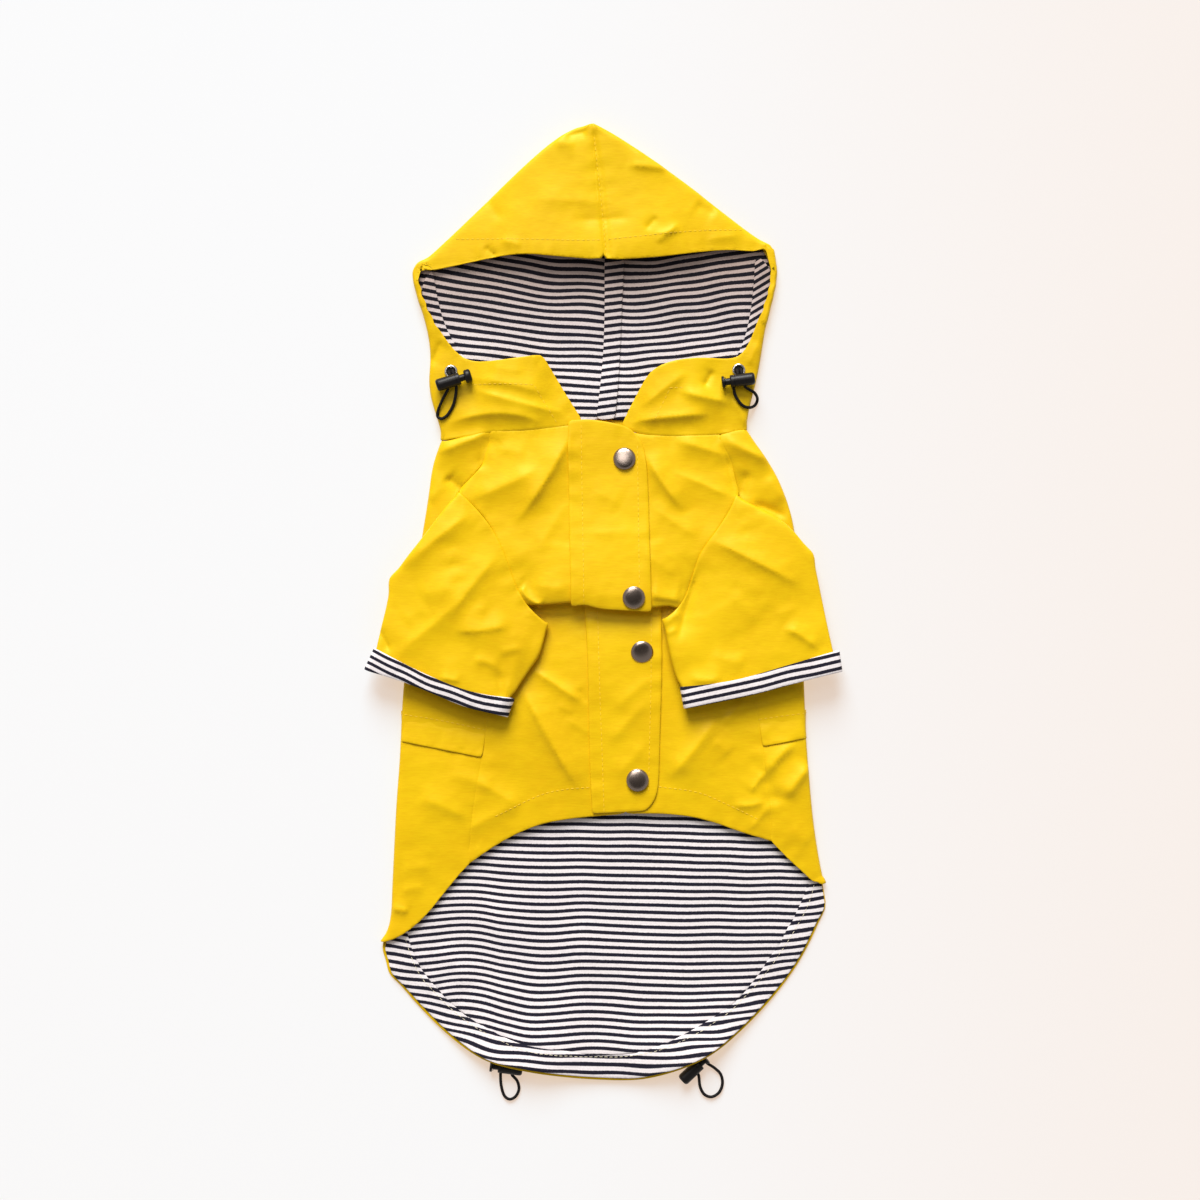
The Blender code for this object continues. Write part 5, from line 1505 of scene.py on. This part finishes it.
# The free loops of elastic in the plan, out of each lock and back to it.
LOOPS: dict[str, list[Plan]] = {
    "hood_left": [(-92.6, 126.6), (-95.4, 121.6), (-98.6, 114.6), (-99.0, 110.6), (-96.4, 109.4),
                  (-93.0, 111.6), (-89.9, 116.8), (-88.3, 122.0), (-87.6, 127.4)],
    "hood_right": [(77.6, 127.4), (78.9, 122.6), (82.6, 117.6), (87.0, 116.0), (90.9, 117.8), (92.3, 121.6),
                   (90.0, 125.0), (84.8, 127.8)],
    "hem_left": [(-61.6, -283.5), (-61.2, -290.0), (-59.4, -296.0), (-56.2, -298.3), (-52.6, -296.6),
                 (-50.6, -292.2), (-51.6, -287.2), (-54.6, -283.6)],
    "hem_right": [(62.9, -277.0), (66.6, -279.4), (70.4, -283.4), (71.4, -289.0), (69.4, -294.2),
                  (65.0, -296.9), (60.6, -295.4), (58.0, -290.6), (57.1, -283.8)],
}

# Rows of stitches on the shell: hood rim, collar, hem, placket, flaps and the hood's centre seam.
SHELL_ROWS: list[list[Plan]] = [
    [(-87.0, 216.7), (-50.5, 216.2), (-17.5, 215.2), (-3.0, 215.4)],
    [(4.0, 215.8), (28.6, 218.5), (56.1, 221.3), (81.8, 222.2)],
    [(-76.6, 129.6), (-60.0, 129.9), (-43.0, 129.4)],
    [(-40.5, 127.8), (-35.0, 118.6), (-28.5, 108.0)],
    [(46.6, 127.8), (40.4, 127.6)],
    [(38.6, 125.0), (31.3, 110.0)],
    [(-63.7, -127.8), (-38.8, -116.0), (-23.5, -112.2), (-9.4, -111.0)],
    [(33.9, -110.6), (56.9, -114.1), (76.0, -122.1), (91.3, -129.4)],
    [(-13.3, 104.4), (-12.6, 60.0), (-11.9, 20.0), (-11.6, -2.4)],
    [(20.3, 92.0), (20.9, 50.0), (21.4, 8.0), (21.4, -3.6)],
    [(-3.4, -6.5), (-2.2, -50.0), (-0.6, -95.0), (0.4, -124.6)],
    [(28.6, -8.0), (28.4, -50.0), (27.4, -90.0), (27.0, -112.0)],
    [(-120.6, -67.2), (-96.0, -71.2), (-71.4, -76.4)],
    [(93.8, -70.2), (108.0, -68.2), (121.4, -66.6)],
    [(-5.4, 276.0), (-3.0, 254.0), (-0.9, 235.0), (0.7, 217.0), (1.9, 206.6)],
]


@dataclass
class Trim:
    """Everything that is set on or sewn through the cloth, and the row that holds the hem facing."""

    hem_heart: Plan = (0.0, -190.0)
    hem_rays: int = 46
    hem_sweep: Plan = (186.0, 370.0)
    ray_width: float = 3.0
    hem_margin: float = 1.0

    def build(self, cloth: list[bpy.types.Object]) -> None:
        """Makes the snaps, locks, cords and stitches.

        Args:
            cloth: The coat's finished cloth.
        """
        surface = Surface(cloth)
        gunmetal = SPUN_GUNMETAL.material()
        for node, tip in SNAP_TIPS.items():
            SnapCap(node, tip).build(gunmetal, surface)
        finishes = [finish.material() for finish in (MOULDED_ACETAL, BRAIDED_ELASTIC, NICKELLED_BRASS)]
        for place, route in LOOPS.items():
            lock = CordLock(place, route, eyelet=place.startswith("hood"), cap_like=place == "hood_left")
            lock.build(*finishes, surface)
        Stitching("shell_stitching", SHELL_ROWS).build(SHELL_THREAD.material(), surface)
        lining = next(piece for piece in cloth if piece.name == "cloth_tail_lining")
        Stitching("hem_stitching", [self._hem_row(lining)]).build(LINING_THREAD.material(), surface)

    def _hem_row(self, lining: bpy.types.Object) -> list[Plan]:
        """Finds the row that holds the hem facing, just outside the tail lining's edge.

        Args:
            lining: The finished tail lining.

        Returns:
            The row's places, from left to right.
        """
        from_heart = points_of(lining.data)[:, :2] - np.array(self.hem_heart)
        turns = np.degrees(np.arctan2(from_heart[:, 1], from_heart[:, 0])) % 360.0
        radii = np.hypot(*from_heart.T)
        row = []
        for turn in np.linspace(*self.hem_sweep, self.hem_rays):
            apart = np.abs((turns - turn + 180.0) % 360.0 - 180.0)
            radius = radii[apart < self.ray_width].max() + self.hem_margin
            row.append((self.hem_heart[0] + radius * math.cos(math.radians(turn)),
                        self.hem_heart[1] + radius * math.sin(math.radians(turn))))
        return row


@dataclass(frozen=True)
class Studio:
    """The pale floor, a window beyond the hood, a softbox and the camera straight above.

    Lengths are metres, angles degrees and powers watts. The paper glows warmly of itself, a painted light
    that keeps the coat's shadow on it pale and warm; its own colour is bluish, so that the lit paper adds up
    to white.
    """

    camera_place: tuple[float, float, float] = (-0.002, 0.001, 1.5)
    lens: float = 75.0
    sensor: float = 36.0
    floor_size: float = 6.0
    floor_height: float = -0.0002
    paper_left: str = "#83A4B9"
    paper_right: str = "#8196A5"
    paper_turn: tuple[float, float] = (-0.1, 0.45)
    paper_roughness: float = 0.95
    paper_gloss: float = 0.1
    painted_floor_glow: float = 1.0
    painted_floor_glow_colour: str = "#D7BCA5"
    window_strength: float = 4.7
    window_colour: tuple[float, float, float] = (1.0, 0.99, 0.97)
    window_rise: float = 33.0
    window_turn: float = 8.0
    window_spread: float = 34.0
    softbox_place: tuple[float, float, float] = (-0.2, 0.52, 1.2)
    softbox_size: float = 0.5
    softbox_power: float = 2.3
    room_strength: float = 0.36
    room_colour: tuple[float, float, float] = (1.0, 0.985, 0.97)
    board_height: float = 1.66
    board_radius: float = 0.85

    def build(self) -> None:
        """Sets up the floor, the board, the lights, the room and the camera."""
        bpy.context.scene.view_settings.view_transform = "Standard"
        self._floor()
        self._board()
        self._window()
        self._softbox()
        self._room()
        self._camera()
        LOG.info("studio: ready")

    def _floor(self) -> None:
        """Lays a wide sheet of matt paper, a little warmer toward the right, that glows faintly with painted
        light.
        """
        mesh = bpy.data.meshes.new("floor")
        half, low = self.floor_size / 2, self.floor_height
        corners = [(-half, -half, low), (half, -half, low), (half, half, low), (-half, half, low)]
        mesh.from_pydata(corners, [], [(0, 1, 2, 3)])
        floor = new_piece("floor", mesh)
        paper, tree, place = blank_finish("matt_paper")
        split = add_node(tree, "ShaderNodeSeparateXYZ", {"Vector": place})
        share = spread(tree, split.outputs["X"], *self.paper_turn, interpolation_type="SMOOTHSTEP")
        # Painted light: the paper's own glow lifts and warms the shadows that fall on it.
        shade(tree, mixed(tree, share, self.paper_left, self.paper_right), {
            "Emission Color": linear(self.painted_floor_glow_colour), "Emission Strength": self.painted_floor_glow,
            "Roughness": self.paper_roughness, "Specular IOR Level": self.paper_gloss})
        mesh.materials.append(paper)

    def _board(self) -> None:
        """Hangs a dark board behind the camera, which the snap caps mirror."""
        radius = self.board_radius / MM
        disc = [(0.0, 0.0), (0.0, radius), (5.0, radius), (5.0, 0.0)]
        board = new_piece("card", lathe("card", disc, UP * self.board_height, UP))
        board.data.materials.append(BLACK_BOARD.material())

    def _window(self) -> None:
        """Puts a wide window beyond the hood, whose light falls low along the coat."""
        rise, turn = math.radians(self.window_rise), math.radians(self.window_turn)
        toward = Vector((-math.sin(turn) * math.cos(rise), math.cos(turn) * math.cos(rise), math.sin(rise)))
        self._lamp("window", "SUN", toward, energy=self.window_strength, color=self.window_colour,
                   angle=math.radians(self.window_spread))

    def _softbox(self) -> None:
        """Puts a small soft box above the hood's left, which the satin shell streaks along its creases."""
        place = Vector(self.softbox_place)
        softbox = self._lamp("softbox", "AREA", place, shape="DISK", size=self.softbox_size,
                             energy=self.softbox_power)
        softbox.location = place

    @staticmethod
    def _lamp(name: str, kind: str, toward: Vector, **settings: object) -> bpy.types.Object:
        """Adds a light.

        Args:
            name: Its name.
            kind: Its type.
            toward: Where it is, seen from the coat.
            **settings: The light's own properties.

        Returns:
            The light, turned to the coat.
        """
        data = bpy.data.lights.new(name, kind)
        for key, value in settings.items():
            setattr(data, key, value)
        lamp = bpy.data.objects.new(name, data)
        lamp.rotation_euler = toward.to_track_quat("Z", "Y").to_euler()
        bpy.context.scene.collection.objects.link(lamp)
        return lamp

    def _room(self) -> None:
        """Fills the room with the even light of its white walls."""
        world = bpy.data.worlds.new("room")
        world.use_nodes = True
        background = world.node_tree.nodes["Background"]
        background.inputs["Color"].default_value = (*self.room_colour, 1.0)
        background.inputs["Strength"].default_value = self.room_strength
        bpy.context.scene.world = world

    def _camera(self) -> None:
        """Sets the camera to look straight down on the coat."""
        data = bpy.data.cameras.new("above")
        data.lens = self.lens
        data.sensor_width = self.sensor
        camera = bpy.data.objects.new("above", data)
        camera.location = Vector(self.camera_place)
        bpy.context.scene.collection.objects.link(camera)
        bpy.context.scene.camera = camera


def main() -> None:
    """Sets up the studio, then builds the coat piece by piece."""
    logging.basicConfig(level=logging.INFO)
    Studio().build()
    cloth = Garment(CoatedShell().material(), StripedJersey().material()).build()
    Trim().build(cloth)


if __name__ == "__main__":
    main()
